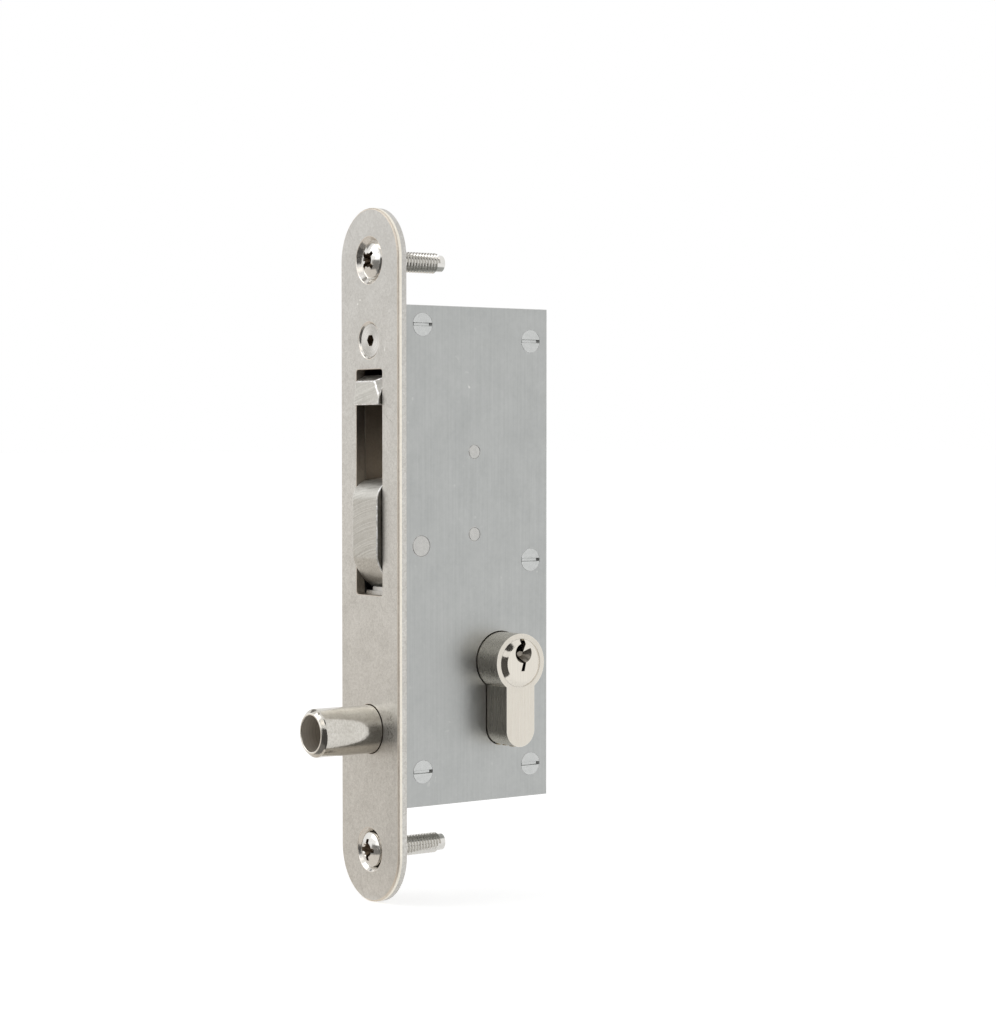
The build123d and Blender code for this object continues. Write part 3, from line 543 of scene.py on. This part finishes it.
def rolled_sheet():
    """Case sheet: cold-rolled steel with a thin bright plating and drawn marks."""
    made = Finish("rolled sheet")
    lines = made.effect(line_grain, made.turned(turn=upright), Scale=1500.0, Length=0.02)
    grain = made.effect(fine_grain, Scale=700.0, Clouds=0.6)
    base = made.mix(lines["Tone"], (0.42, 0.43, 0.42), (0.52, 0.53, 0.52))
    base = made.mix(0.5, base, made.mix(grain["Tone"], (0.36, 0.37, 0.365), (0.55, 0.56, 0.55)))
    scuffs = made.effect(scratches, made.turned(turn=(math.radians(35), 0, 0)), Scale=600.0, Share=0.16)
    base = made.mix(scuffs["Mask"], base, (0.68, 0.68, 0.66))
    # Edges brightened by wear and by a painted highlight
    edge = made.effect(edge_wear_and_highlight, Width=0.35 * mm)
    made.colour(made.mix(edge["Mask"], base, (0.70, 0.69, 0.66)))
    made.rough(grain["Tone"], 0.32, 0.46)
    made.relief(lines["Height"], 0.012 * mm, 0.5)
    return made.material


def grained(name, scale, clouds, dark, light, rough, relief, metallic=1.0):
    """Metal with one grain between two tones, told apart by its gloss and its relief."""
    made = Finish(name)
    grain = made.effect(fine_grain, Scale=scale, Clouds=clouds)
    made.colour(made.mix(grain["Tone"], dark, light))
    made.metallic(metallic)
    made.rough(grain["Tone"], *rough)
    made.relief(grain["Height"], *relief)
    return made.material


def plain_metal(name, dark, light, rough, scale=900.0):
    """Even machined or cast metal, told apart by its two tones, gloss and grain."""
    made = Finish(name)
    grain = made.effect(fine_grain, Scale=scale, Clouds=0.4)
    base = made.mix(grain["Tone"], dark, light)
    # Edges brightened by wear and by a painted highlight
    edge = made.effect(edge_wear_and_highlight, Width=0.3 * mm, Amount=0.6)
    bright = tuple(min(1.0, level * 1.3) for level in light)
    made.colour(made.mix(edge["Mask"], base, bright))
    made.rough(grain["Tone"], *rough)
    made.relief(grain["Height"], 0.02 * mm, 0.5)
    return made.material


def nickel_plate():
    """Fine brushed nickel of the cylinder body."""
    made = Finish("nickel plate")
    lines = made.effect(line_grain, made.turned(turn=upright), Scale=2600.0, Length=0.02)
    grain = made.effect(fine_grain, Scale=500.0, Clouds=0.7)
    base = made.mix(lines["Tone"], (0.66, 0.62, 0.545), (0.75, 0.71, 0.635))
    base = made.mix(0.3, base, made.mix(grain["Tone"], (0.58, 0.545, 0.48), (0.80, 0.76, 0.68)))
    # Edges brightened by wear and by a painted highlight
    edge = made.effect(edge_wear_and_highlight, Width=0.3 * mm)
    made.colour(made.mix(edge["Mask"], base, (0.94, 0.90, 0.82)))
    made.rough(lines["Tone"], 0.24, 0.32)
    made.relief(lines["Height"], 0.008 * mm, 0.4)
    return made.material


def nickel_plug():
    """Plug face, brushed upright, with a mirror-like slope round it."""
    made = Finish("nickel plug")
    lines = made.effect(line_grain, made.turned(turn=upright), Scale=2200.0, Length=0.02)
    made.colour(made.mix(lines["Tone"], (0.68, 0.64, 0.57), (0.79, 0.75, 0.675)))
    made.rough(lines["Tone"], 0.08, 0.16)
    made.relief(lines["Height"], 0.006 * mm, 0.4)
    return made.material


# Faceplate
satin = satin_stainless()
shaded_wall_steel = shaded_slot_wall()

# Edge break of the plate: a thin line, rubbed and a little brown, with a painted highlight
rubbed_edge_highlight = grained("rubbed edge highlight", 1900.0, 0.3, (0.64, 0.56, 0.46), (0.86, 0.79, 0.69), (0.42, 0.58),
                      (0.03 * mm, 0.5), metallic=0.55)

# Front part of the plate's cut edge, where the punch left it bright
flank_bright = grained("sheared flank", 1700.0, 0.3, (0.82, 0.765, 0.665), (1.0, 0.96, 0.865), (0.4, 0.52),
                       (0.03 * mm, 0.6))

# Countersinks in the plate, cut bright
cone_bright = grained("turned cone", 1100.0, 0.5, (0.60, 0.57, 0.53), (0.80, 0.78, 0.74), (0.12, 0.22),
                      (0.01 * mm, 0.3))

# Screws: heads polished nearly to a mirror, and recesses darkened by brown dirt and by painted shade
turned_head = turned_steel()
screw_polish = grained("polished screw", 900.0, 0.5, (0.67, 0.655, 0.62), (0.80, 0.785, 0.75), (0.1, 0.18),
                       (0.008 * mm, 0.25))
recess_grime_and_shade = grained("grimy recess with painted shade", 1500.0, 0.4, (0.055, 0.036, 0.022), (0.26, 0.20, 0.14), (0.55, 0.4),
                       (0.03 * mm, 0.6))

# Guide pin, with a front rim turned bright after the tube was tumbled
pin_polish = polished_pin()
pin_bore_finish = drilled_bore()
rim_bright = grained("turned rim", 1200.0, 0.5, (0.76, 0.73, 0.67), (0.90, 0.875, 0.82), (0.13, 0.2),
                     (0.008 * mm, 0.3))

# Hook: ground front, burrs along the edges with painted highlights, sides left unground in a darker tone, and
# a sawn facet at the tip darkened by painted shade
hook_steel = ground_hook()
burr_with_highlight = burred_edge_highlight()
side_steel = grained("unground side", 1300.0, 0.5, (0.13, 0.12, 0.105), (0.33, 0.315, 0.285), (0.36, 0.5),
                     (0.05 * mm, 0.7))
shaded_corner_steel = grained("sawn corner with painted shade", 1300.0, 0.5, (0.27, 0.26, 0.24), (0.50, 0.485, 0.45), (0.3, 0.44),
                       (0.05 * mm, 0.7))

# Cylinder, with painted shade in the keyway's mouth and the key's path behind it
nickel = nickel_plate()
plug_nickel = nickel_plug()
keyway_painted_shade = grained("keyway shade", 1500.0, 0.5, (0.17, 0.15, 0.125), (0.36, 0.33, 0.285), (0.3, 0.42),
                      (0.02 * mm, 0.5))

# Case and works
case_sheet = rolled_sheet()
block_zinc = plain_metal("cast zinc", (0.56, 0.55, 0.525), (0.80, 0.79, 0.76), (0.3, 0.42), 1200.0)
screw_zinc = plain_metal("plated screw", (0.50, 0.51, 0.50), (0.64, 0.65, 0.64), (0.2, 0.32))
bright_steel = plain_metal("bright steel", (0.46, 0.455, 0.44), (0.60, 0.595, 0.57), (0.2, 0.3))
sintered = plain_metal("sintered steel", (0.20, 0.195, 0.185), (0.32, 0.315, 0.30), (0.4, 0.55), 2200.0)
dark_steel = plain_metal("dark guide", (0.24, 0.215, 0.185), (0.36, 0.325, 0.28), (0.4, 0.55), 1500.0)
bronze_metal = plain_metal("bronze", (0.42, 0.27, 0.13), (0.58, 0.40, 0.22), (0.3, 0.42), 1600.0)
spring_metal = plain_metal("spring steel", (0.34, 0.33, 0.31), (0.46, 0.45, 0.43), (0.25, 0.35))
brass_metal = plain_metal("brass", (0.58, 0.43, 0.20), (0.76, 0.60, 0.32), (0.18, 0.28))

finish_of_slot = {
    "satin_stainless": satin,
    "polished_screw": screw_polish,
    "turned_steel": turned_head,
    "polished_pin": pin_polish,
    "ground_hook": hook_steel,
    "sheet_steel": case_sheet,
    "zinc_block": block_zinc,
    "zinc_screw": screw_zinc,
    "bright_steel": bright_steel,
    "sintered_steel": sintered,
    "dark_guide": dark_steel,
    "bronze": bronze_metal,
    "nickel_plate": nickel,
    "nickel_plug": plug_nickel,
    "spring_steel": spring_metal,
    "brass": brass_metal,
}
slot_of_node = {name: node.material_slots[0].material.name for name, node in frame["nodes"].items()}
for name, node in frame["nodes"].items():
    node.material_slots[0].material = finish_of_slot[slot_of_node[name]]


# Shaping helpers


def new_piece(bm, name, materials):
    """Makes the mesh a smooth shaded object, at the origin, with its flat faces kept flat."""
    bmesh.ops.remove_doubles(bm, verts=bm.verts, dist=hair)
    bmesh.ops.recalc_face_normals(bm, faces=bm.faces)
    mesh = bpy.data.meshes.new(name)
    bm.to_mesh(mesh)
    bm.free()
    mesh.shade_smooth()
    mesh.set_sharp_from_angle(angle=smooth_angle)
    for material in materials:
        mesh.materials.append(material)
    piece = bpy.data.objects.new(name, mesh)
    bpy.context.scene.collection.objects.link(piece)
    return piece


def stand_in(piece, node):
    """Lets the piece ride with the node's body and take its place."""
    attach(piece, frame["nodes"][node]["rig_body"])
    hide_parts(node)
    return piece


def weigh_normals(piece):
    """Lets the large faces set the shading, so that they stay flat."""
    weighted = piece.modifiers.new("normals", "WEIGHTED_NORMAL")
    weighted.keep_sharp = True
    return piece


def soften(piece, width, segments=2, edge=None):
    """Rounds the piece's sharp edges, at full width in their own finish if one is given."""
    rounding = piece.modifiers.new("edges", "BEVEL")
    if edge:
        rounding.material = len(piece.data.materials)
        piece.data.materials.append(edge)
        rounding.use_clamp_overlap = False
    rounding.width = width
    rounding.segments = segments
    rounding.limit_method = "ANGLE"
    rounding.angle_limit = soften_angle
    rounding.harden_normals = False
    return weigh_normals(piece)


def merged_copy(node):
    """Mesh of a CAD node with its loose triangles joined into clean faces."""
    bm = bmesh.new()
    bm.from_mesh(frame["nodes"][node].data)
    bmesh.ops.remove_doubles(bm, verts=bm.verts, dist=hair)
    bmesh.ops.dissolve_limit(bm, angle_limit=merge_angle, verts=bm.verts, edges=bm.edges)
    return bm


def refined(node):
    """Copy of a CAD node, merged into clean faces, with its edges softened."""
    piece = new_piece(merged_copy(node), node + "_piece", [finish_of_slot[slot_of_node[node]]])
    return stand_in(soften(piece, case_edge), node)


def wire(bm, corners):
    """Closed wire through corners of (x, y, z, rounding)."""
    verts = [bm.verts.new(corner[:3]) for corner in corners]
    edges = [bm.edges.new(pair) for pair in zip(verts, verts[1:] + verts[:1])]
    for vert, corner in zip(verts, corners):
        if corner[3]:
            bmesh.ops.bevel(bm, geom=[vert], offset=corner[3], offset_type="OFFSET", segments=4, profile=0.5,
                            affect="VERTICES", material=-1)
    return edges


def turned_part(corners, height, steps):
    """Ring spun round the line along Y at a height, from corners of (radius, y, rounding)."""
    bm = bmesh.new()
    wire(bm, [(radius, y, height, rounding) for radius, y, rounding in corners])
    bmesh.ops.spin(bm, geom=bm.verts[:] + bm.edges[:], cent=(0, 0, height), axis=(0, 1, 0),
                   angle=2 * math.pi, steps=steps, use_merge=True)
    return bm


# Faceplate


def circle_loop(bm, radius, y, height):
    """Round opening's loop at depth y."""
    place = Matrix.Translation((0, y, height)) @ Matrix.Rotation(math.radians(90), 4, "X")
    ring = bmesh.ops.create_circle(bm, radius=radius, segments=round_steps, matrix=place)
    return list({edge for vert in ring["verts"] for edge in vert.link_edges})


def plate_loop(bm, inset, y):
    """Outline of the plate at depth y, drawn in by the inset: two half circles moved apart."""
    radius = plate_half_width - inset
    half_step = math.pi / (2 * round_steps)
    place = Matrix.Rotation(math.radians(90), 4, "X") @ Matrix.Rotation(half_step, 4, "Z")
    ring = bmesh.ops.create_circle(bm, radius=radius, segments=2 * round_steps, matrix=place)
    apart = plate_half_length - plate_half_width
    for vert in ring["verts"]:
        vert.co += Vector((0, y, math.copysign(apart, vert.co.z)))
    return list({edge for vert in ring["verts"] for edge in vert.link_edges})


def slot_loop(bm, grow, y):
    """Hook slot's loop at depth y: a rectangle with rounded corners."""
    side = slot_half_width + grow
    bottom = slot_bottom - grow
    top = slot_top + grow
    corner = slot_corner + grow
    before = set(bm.edges)
    wire(bm, [(-side, y, bottom, corner), (side, y, bottom, corner), (side, y, top, corner),
              (-side, y, top, corner)])
    return [edge for edge in bm.edges if edge not in before]


def bridge(bm, loops):
    """Wall through a row of loops; gives back the first loop and the last."""
    for first, second in zip(loops, loops[1:]):
        bmesh.ops.bridge_loops(bm, edges=first + second)
    return loops[0], loops[-1]


def finish_plate_faces(bm):
    """Gives the slot's wall, the cut edge, the countersinks and the edge breaks their own finishes."""
    bm.normal_update()
    cones = ((upper_height, upper_countersink), (lower_height, lower_countersink),
             (case_screw_height, case_countersink))
    break_depth = plate_front + plate_edge_break + sheared_edge
    for face in bm.faces:
        middle = face.calc_center_median()
        if abs(face.normal.y) > facing_flat:
            continue
        in_slot = (abs(middle.x) < slot_half_width + sheared_edge
                   and slot_bottom - sheared_edge < middle.z < slot_top + sheared_edge)
        in_cone = any(math.hypot(middle.x, middle.z - height) < radius for height, radius in cones)
        if in_cone:
            face.material_index = 3
        elif middle.y < plate_front + sheared_edge or not in_slot and middle.y < break_depth:
            face.material_index = 1
        elif in_slot:
            face.material_index = 2
        elif middle.y < plate_front + cut_depth:
            face.material_index = 4


def faceplate():
    """Plate with sheared, softened edges and turned countersinks; its two faces fill between the walls."""
    bm = bmesh.new()
    front = plate_front
    soft = sheared_edge
    outline = [(plate_edge_break + soft, front), (plate_edge_break, front + soft / 3),
               (soft / 3, front + plate_edge_break), (0, front + plate_edge_break + soft),
               (0, front + cut_depth), (0, -soft), (soft, 0)]
    walls = [bridge(bm, [plate_loop(bm, inset, y) for inset, y in outline])]
    slot = [(soft, front), (soft / 3, front + soft / 3), (0, front + soft), (0, -soft), (soft, 0)]
    walls.append(bridge(bm, [slot_loop(bm, grow, y) for grow, y in slot]))
    walls.append(bridge(bm, [circle_loop(bm, pin_hole + grow, y, pin_height) for grow, y in slot]))
    depth = -front
    for radius, floor_radius, cone_depth, height in (
            (upper_countersink, upper_countersink - depth, depth, upper_height),
            (lower_countersink, lower_countersink - depth, depth, lower_height),
            (case_countersink, case_screw_hole, case_countersink - case_screw_hole, case_screw_height)):
        rings = [(radius + soft, front), (radius + soft / 4, front + soft / 4), (radius - soft, front + soft),
                 (floor_radius, front + cone_depth)]
        if cone_depth < depth:
            rings.append((floor_radius, 0))
        walls.append(bridge(bm, [circle_loop(bm, ring, y, height) for ring, y in rings]))
    for end in (0, 1):
        rim = [edge for wall in walls for edge in wall[end]]
        bmesh.ops.triangle_fill(bm, use_beauty=True, use_dissolve=False, edges=rim)
    finish_plate_faces(bm)
    piece = new_piece(bm, "faceplate_piece", [satin, rubbed_edge_highlight, shaded_wall_steel, cone_bright, flank_bright])
    return stand_in(weigh_normals(piece), "faceplate")


# Screws


def thread(bm, height, start, end):
    """Ridge of a V thread, wound along Y round a core."""
    turns = int((end - start) / thread_pitch)
    corners = [(thread_root, start - thread_half_width), (shank_radius, start),
               (thread_root, start + thread_half_width)]
    verts = [bm.verts.new((radius, y, height)) for radius, y in corners]
    face = bm.faces.new(verts)
    geometry = verts + list(face.edges) + [face]
    bmesh.ops.spin(bm, geom=geometry, cent=(0, 0, height), axis=(0, 1, 0),
                   dvec=(0, thread_pitch / thread_steps, 0), angle=2 * math.pi * turns,
                   steps=thread_steps * turns, use_merge=False)


def darken_recess(bm, height, head_radius, rise):
    """Gives the recess in a screw's head its own finish of brown dirt and painted shade: faces below the dome
    that don't face outwards.
    """
    bm.normal_update()
    top = min(vert.co.y for vert in bm.verts)
    for face in bm.faces:
        middle = face.calc_center_bounds()
        spoke = Vector((middle.x, 0, middle.z - height))
        dome = top + (spoke.length / head_radius) ** 2 * rise
        inside = spoke.length < recess_radius * recess_growth and face.normal.dot(spoke) < spoke.length / 2
        if inside and dome + recess_depth < middle.y < recess_floor:
            face.material_index = 1


def case_screw():
    """Flat countersunk screw with a hexagon socket."""
    bm = merged_copy("case_screw")
    darken_recess(bm, case_screw_height, case_screw_high.x, 0)
    piece = new_piece(bm, "case_screw_piece", [turned_head, recess_grime_and_shade])
    return stand_in(soften(piece, case_screw_edge), "case_screw")


def dome_faces(bm, rim):
    """Faces of a screw's dome: those that look forwards and lie in front of its rim."""
    return [face for face in bm.faces
            if face.normal.y < -facing_front and face.calc_center_median().y < rim]


def reshape_head(bm, height):
    """Divides the dome finely, widens its recess, narrows its rim and lays it on a true sphere."""
    bm.normal_update()
    top = min(vert.co.y for vert in bm.verts)
    rim = top + dome_height + hair
    bmesh.ops.triangulate(bm, faces=dome_faces(bm, rim))
    edges = list({edge for face in dome_faces(bm, rim) for edge in face.edges})
    bmesh.ops.subdivide_edges(bm, edges=edges, cuts=dome_cuts, use_grid_fill=True)
    bm.normal_update()
    on_dome = {vert for face in dome_faces(bm, rim) for vert in face.verts}
    head = upper_high.x
    sphere = ((head * head_growth) ** 2 + dome_height ** 2) / (2 * dome_height)
    for vert in bm.verts:
        if vert.co.y < plate_front + head_seat_depth:
            spoke = Vector((vert.co.x, 0, vert.co.z - height))
            share = min(max((spoke.length - recess_radius) / (head - recess_radius), 0.0), 1.0)
            spoke *= recess_growth + share * (head_growth - recess_growth)
            y = top + sphere - math.sqrt(sphere ** 2 - spoke.length_squared) if vert in on_dome else vert.co.y
            vert.co = spoke + Vector((0, y, height))


def fixing_screw(node, height):
    """Raised countersunk screw: the CAD head, with its shank turned down and a thread wound on it."""
    bm = merged_copy(node)
    for cut in (thread_start - thread_runout, thread_start):
        geometry = bm.verts[:] + bm.edges[:] + bm.faces[:]
        bmesh.ops.bisect_plane(bm, geom=geometry, plane_co=(0, cut, 0), plane_no=(0, 1, 0))
    reshape_head(bm, height)
    shank = [vert for vert in bm.verts if vert.co.y > thread_start - hair]
    scale = thread_root / shank_radius
    bmesh.ops.scale(bm, verts=shank, vec=(scale, 1, scale), space=Matrix.Translation((0, 0, -height)))
    darken_recess(bm, height, upper_high.x, dome_height)
    piece = new_piece(bm, node + "_piece", [screw_polish, recess_grime_and_shade])
    stand_in(soften(piece, bright_edge), node)
    wound = bmesh.new()
    thread(wound, height, thread_start, fixing_end - thread_pitch)
    ridge = new_piece(wound, node + "_thread", [screw_polish])
    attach(ridge, frame["nodes"][node]["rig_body"])


# Guide pin


def guide_pin():
    """Hollow pin turned from bar: polished outside, drilled inside."""
    front = pin_low.y
    rear = pin_high.y
    shoulder = 8.5 * mm
    hole = 2.75 * mm
    chamfer = 1.2 * mm
    rim_depth = 0.1 * mm
    relief = 0.2 * mm
    root = 6.5 * mm
    corners = [(pin_bore, front, 0.25 * mm), (pin_radius - chamfer, front, 0.2 * mm),
               (pin_radius, front + chamfer, 0.35 * mm), (pin_radius, plate_front - relief, 0.05 * mm),
               (pin_radius - relief, plate_front - relief, 0), (pin_radius - relief, 0, 0), (root, 0, 0),
               (root, rear, 0.3 * mm), (hole, rear, 0.1 * mm), (hole, shoulder, 0.1 * mm),
               (pin_bore, shoulder, 0.2 * mm)]
    bm = turned_part(corners, pin_height, 2 * round_steps)
    for face in bm.faces:
        middle = face.calc_center_median()
        radius = math.hypot(middle.x, middle.z - pin_height)
        if radius < pin_bore and middle.y < rear - mm:
            face.material_index = 1
        elif middle.y < front + rim_depth:
            face.material_index = 2
    piece = new_piece(bm, "guide_pin_piece", [pin_polish, pin_bore_finish, rim_bright])
    return stand_in(weigh_normals(piece), "guide_pin")


# Hook


def hook():
    """Hook bolt: ground front, unground sides, a sawn tip corner in painted shade, and burrs along the edges
    with painted highlights.
    """
    bm = merged_copy("hook")
    bmesh.ops.remove_doubles(bm, verts=bm.verts[:], dist=hook_merge)
    bm.normal_update()
    for face in bm.faces:
        if abs(face.normal.x) > facing_flat:
            face.material_index = 1
        # The tip's facet takes a darker finish: painted shade
        if face.normal.dot(hook_tip_corner) > facing_corner:
            face.material_index = 2
    piece = new_piece(bm, "hook_piece", [hook_steel, side_steel, shaded_corner_steel])
    return stand_in(soften(piece, hook_burr, 4, edge=burr_with_highlight), "hook")


def return_spring():
    """Return spring of the slide, which rides on the case and has a mesh of its own."""
    piece = weigh_normals(new_piece(merged_copy("slide_spring"), "slide_spring_piece", [spring_metal]))
    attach(piece, "lock_case")
    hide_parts("slide_spring")
    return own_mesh(piece)


# Cylinder


def plug(node):
    """Plug with painted shade in its keyway behind its bright face."""
    low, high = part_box(node)
    face_x = max(abs(low.x), abs(high.x))
    bm = merged_copy(node)
    bm.normal_update()
    for face in bm.faces:
        middle = face.calc_center_median()
        radius = math.hypot(middle.y - cylinder_y, middle.z - plug_height)
        if radius < keyway_reach and abs(middle.x) < face_x - hair:
            face.material_index = 1
    piece = new_piece(bm, node + "_piece", [plug_nickel, keyway_painted_shade])
    return stand_in(soften(piece, bright_edge), node)


def chamber_plugs():
    """Brass plugs that close the pin chambers, seen under the cylinder's leg."""
    bm = bmesh.new()
    first = chamber_low.x + chamber_radius
    last = chamber_high.x - chamber_radius
    pitch = (last - first) / (chamber_count - 1)
    middle = leg_bottom + 0.2 * mm
    thickness = 0.5 * mm
    chamfer = 0.15 * mm
    for side in (1, -1):
        for step in range(chamber_count):
            place = Matrix.Translation((side * (first + step * pitch), cylinder_y, middle))
            disc = bmesh.ops.create_cone(bm, cap_ends=True, cap_tris=False, segments=32, matrix=place,
                                         radius1=chamber_radius, radius2=chamber_radius, depth=thickness)
            low = [vert for vert in disc["verts"] if vert.co.z < middle]
            edges = [edge for edge in bm.edges if all(vert in low for vert in edge.verts)]
            bmesh.ops.bevel(bm, geom=edges, offset=chamfer, offset_type="OFFSET", segments=2, profile=0.5,
                            affect="EDGES", material=-1)
    piece = new_piece(bm, "chamber_plugs", [brass_metal])
    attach(piece, frame["nodes"]["cylinder_housing"]["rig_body"])


faceplate()
fixing_screw("upper_fixing_screw", upper_height)
fixing_screw("lower_fixing_screw", lower_height)
guide_pin()
chamber_plugs()
hook()
return_spring()
case_screw()
plug("plug_near")
plug("plug_far")
for node in ("case_body", "case_cover", "cover_screws", "floor_screws", "upper_block", "lower_block",
             "hook_pin", "hook_guides", "slide_pins", "cylinder_screw", "cylinder_housing"):
    refined(node)


# Studio

floor_level = -plate_half_length
beige_card_rise = 0.4 * mm
dark_card_rise = 0.5 * mm
grey_card_rise = 0.6 * mm
white = (1.0, 1.0, 1.0)
warm_white = (1.0, 0.97, 0.93)
beige = (1.0, 0.94, 0.87)
lens_length = 87.74
sensor_width = 36
camera_place = (0.6028, -0.3960, 0.0338)
camera_tilt = math.radians(90 - 1.684)
camera_turn = math.radians(53.942)


def stage_light_path(tree):
    """1 for rays from the camera and for rays that a mirror or glass sends on."""
    rays = add(tree, "LightPath").outputs
    seen = math_of(tree, "MAXIMUM", rays["Is Camera Ray"], rays["Is Glossy Ray"])
    return math_of(tree, "MAXIMUM", seen, rays["Is Transmission Ray"])


def studio_world(level):
    """White behind everything and in reflections; a plain level lights the rest."""
    world = bpy.data.worlds.new("studio")
    world.use_nodes = True
    tree = world.node_tree
    tree.nodes.clear()
    plain = add(tree, "Background", {"Color": (1, 1, 1, 1), "Strength": level})
    full = add(tree, "Background", {"Color": (1, 1, 1, 1), "Strength": 1.0})
    blend = add(tree, "MixShader", {0: stage_light_path(tree), 1: plain.outputs[0], 2: full.outputs[0]})
    add(tree, "OutputWorld", {"Surface": blend.outputs[0]})
    bpy.context.scene.world = world


def stage_sheet(name, size, place):
    """Flat sheet of the studio, which isn't part of the lock."""
    bm = bmesh.new()
    bmesh.ops.create_grid(bm, x_segments=1, y_segments=1, size=0.5)
    bmesh.ops.scale(bm, verts=bm.verts, vec=(size[0], size[1], 1))
    bmesh.ops.transform(bm, verts=bm.verts, matrix=place)
    mesh = bpy.data.meshes.new(name)
    bm.to_mesh(mesh)
    bm.free()
    sheet = bpy.data.objects.new(name, mesh)
    bpy.context.scene.collection.objects.link(sheet)
    material = bpy.data.materials.new(name)
    material.use_nodes = True
    material.node_tree.nodes.clear()
    mesh.materials.append(material)
    return sheet, material.node_tree


def floor(seen, mirrored):
    """Pale floor under the plate's lowest point, white to the camera except in the shadow."""
    tree = stage_sheet("floor", (40, 40), Matrix.Translation((0, 0, floor_level)))[1]
    matt = add(tree, "BsdfDiffuse", {"Color": (0.8, 0.8, 0.8, 1)})
    rays = add(tree, "LightPath").outputs
    sent_on = math_of(tree, "MAXIMUM", rays["Is Glossy Ray"], rays["Is Transmission Ray"])
    direct = math_of(tree, "MULTIPLY", rays["Is Camera Ray"], seen)
    level = math_of(tree, "ADD", direct, math_of(tree, "MULTIPLY", sent_on, mirrored))
    glow = add(tree, "Emission", {"Strength": level})
    both = add(tree, "AddShader", {0: matt.outputs[0], 1: glow.outputs[0]})
    add(tree, "OutputMaterial", {"Surface": both.outputs[0]})


def standing(direction, distance):
    """Place of a card that faces the lock from a direction."""
    facing = Vector(direction).normalized()
    return Matrix.Translation(facing * distance) @ (-facing).to_track_quat("Z", "Y").to_matrix().to_4x4()


def lying(azimuth, distance):
    """Place of a grey card on the floor, its long way leading away from the lock."""
    turn = Matrix.Rotation(math.radians(azimuth), 4, "Z")
    return turn @ Matrix.Translation((0, -distance, floor_level + grey_card_rise))


def flat_on_floor(x, y, rise):
    """Place of a card that lies square on the floor, just above it."""
    return Matrix.Translation((x, y, floor_level + rise))


def reflected_card(name, place, size, level, tint=warm_white):
    """Plain card that only shows in reflections."""
    sheet, tree = stage_sheet(name, size, place)
    glow = add(tree, "Emission", {"Color": (*tint, 1), "Strength": level})
    add(tree, "OutputMaterial", {"Surface": glow.outputs[0]})
    sheet.visible_camera = False
    sheet.visible_diffuse = False
    sheet.visible_shadow = False
    sheet.visible_transmission = False


def softbox(name, place, size, radiance, mirrored=True):
    """Large area lamp that faces the lock."""
    lamp = bpy.data.lights.new(name, "AREA")
    lamp.shape = "SQUARE"
    lamp.size = size
    lamp.energy = radiance * math.pi * size * size
    holder = bpy.data.objects.new(name, lamp)
    holder.location = place
    holder.rotation_mode = "QUATERNION"
    holder.rotation_quaternion = (-Vector(place)).to_track_quat("-Z", "Y")
    holder.visible_glossy = mirrored
    bpy.context.scene.collection.objects.link(holder)


def camera():
    """Camera solved from the plate and the cylinder in the picture."""
    lens = bpy.data.cameras.new("camera")
    lens.lens = lens_length
    lens.sensor_width = sensor_width
    holder = bpy.data.objects.new("camera", lens)
    holder.location = camera_place
    holder.rotation_euler = (camera_tilt, 0, camera_turn)
    bpy.context.scene.collection.objects.link(holder)
    bpy.context.scene.camera = holder


studio_world(level=0.6)
floor(seen=0.54, mirrored=0.45)
softbox("key lamp", (-0.45, -0.85, 0.75), size=0.7, radiance=1.6)
softbox("side lamp", (0.9, 0.5, 0.7), size=0.7, radiance=0.8, mirrored=False)

# Cards that the metal mirrors: name, place, width and height, and level
reflected_card("dark card", standing((0.766, -0.64, 0.1), 1.3), (1.3, 0.56), 0.08)
reflected_card("dark floor", flat_on_floor(0.62, -0.61, dark_card_rise), (1.2, 1.22), 0.09)
reflected_card("beige floor", flat_on_floor(-1.98, -2.0, beige_card_rise), (4.0, 3.99), 0.77, beige)
reflected_card("grey floor", lying(-7, 0.9), (0.62, 1.0), 0.22)
reflected_card("grey strip", lying(-8, 0.22), (0.08, 0.36), 0.22)
reflected_card("grey card", standing((-0.12, -0.99, 0.027), 1.3), (0.84, 0.25), 0.22)
reflected_card("sky card", standing((-0.62, -0.74, 0.27), 1.45), (1.7, 0.62), 1.08, white)
reflected_card("bright card", standing((0.035, -0.95, 0.3), 1.4), (0.6, 0.5), 1.6, white)
reflected_card("overhead card", standing((0.587, -0.23, 0.774), 1.2), (0.62, 0.56), 0.05)
reflected_card("side card", standing((-0.81, -0.03, 0.59), 1.3), (0.6, 0.5), 0.25)
reflected_card("upper card", standing((-0.35, -0.40, 0.85), 1.2), (0.35, 0.3), 0.4)
reflected_card("white card", standing((0.32, -0.74, 0.59), 1.3), (0.5, 0.34), 1.5)

camera()
bpy.context.scene.view_settings.view_transform = "Standard"
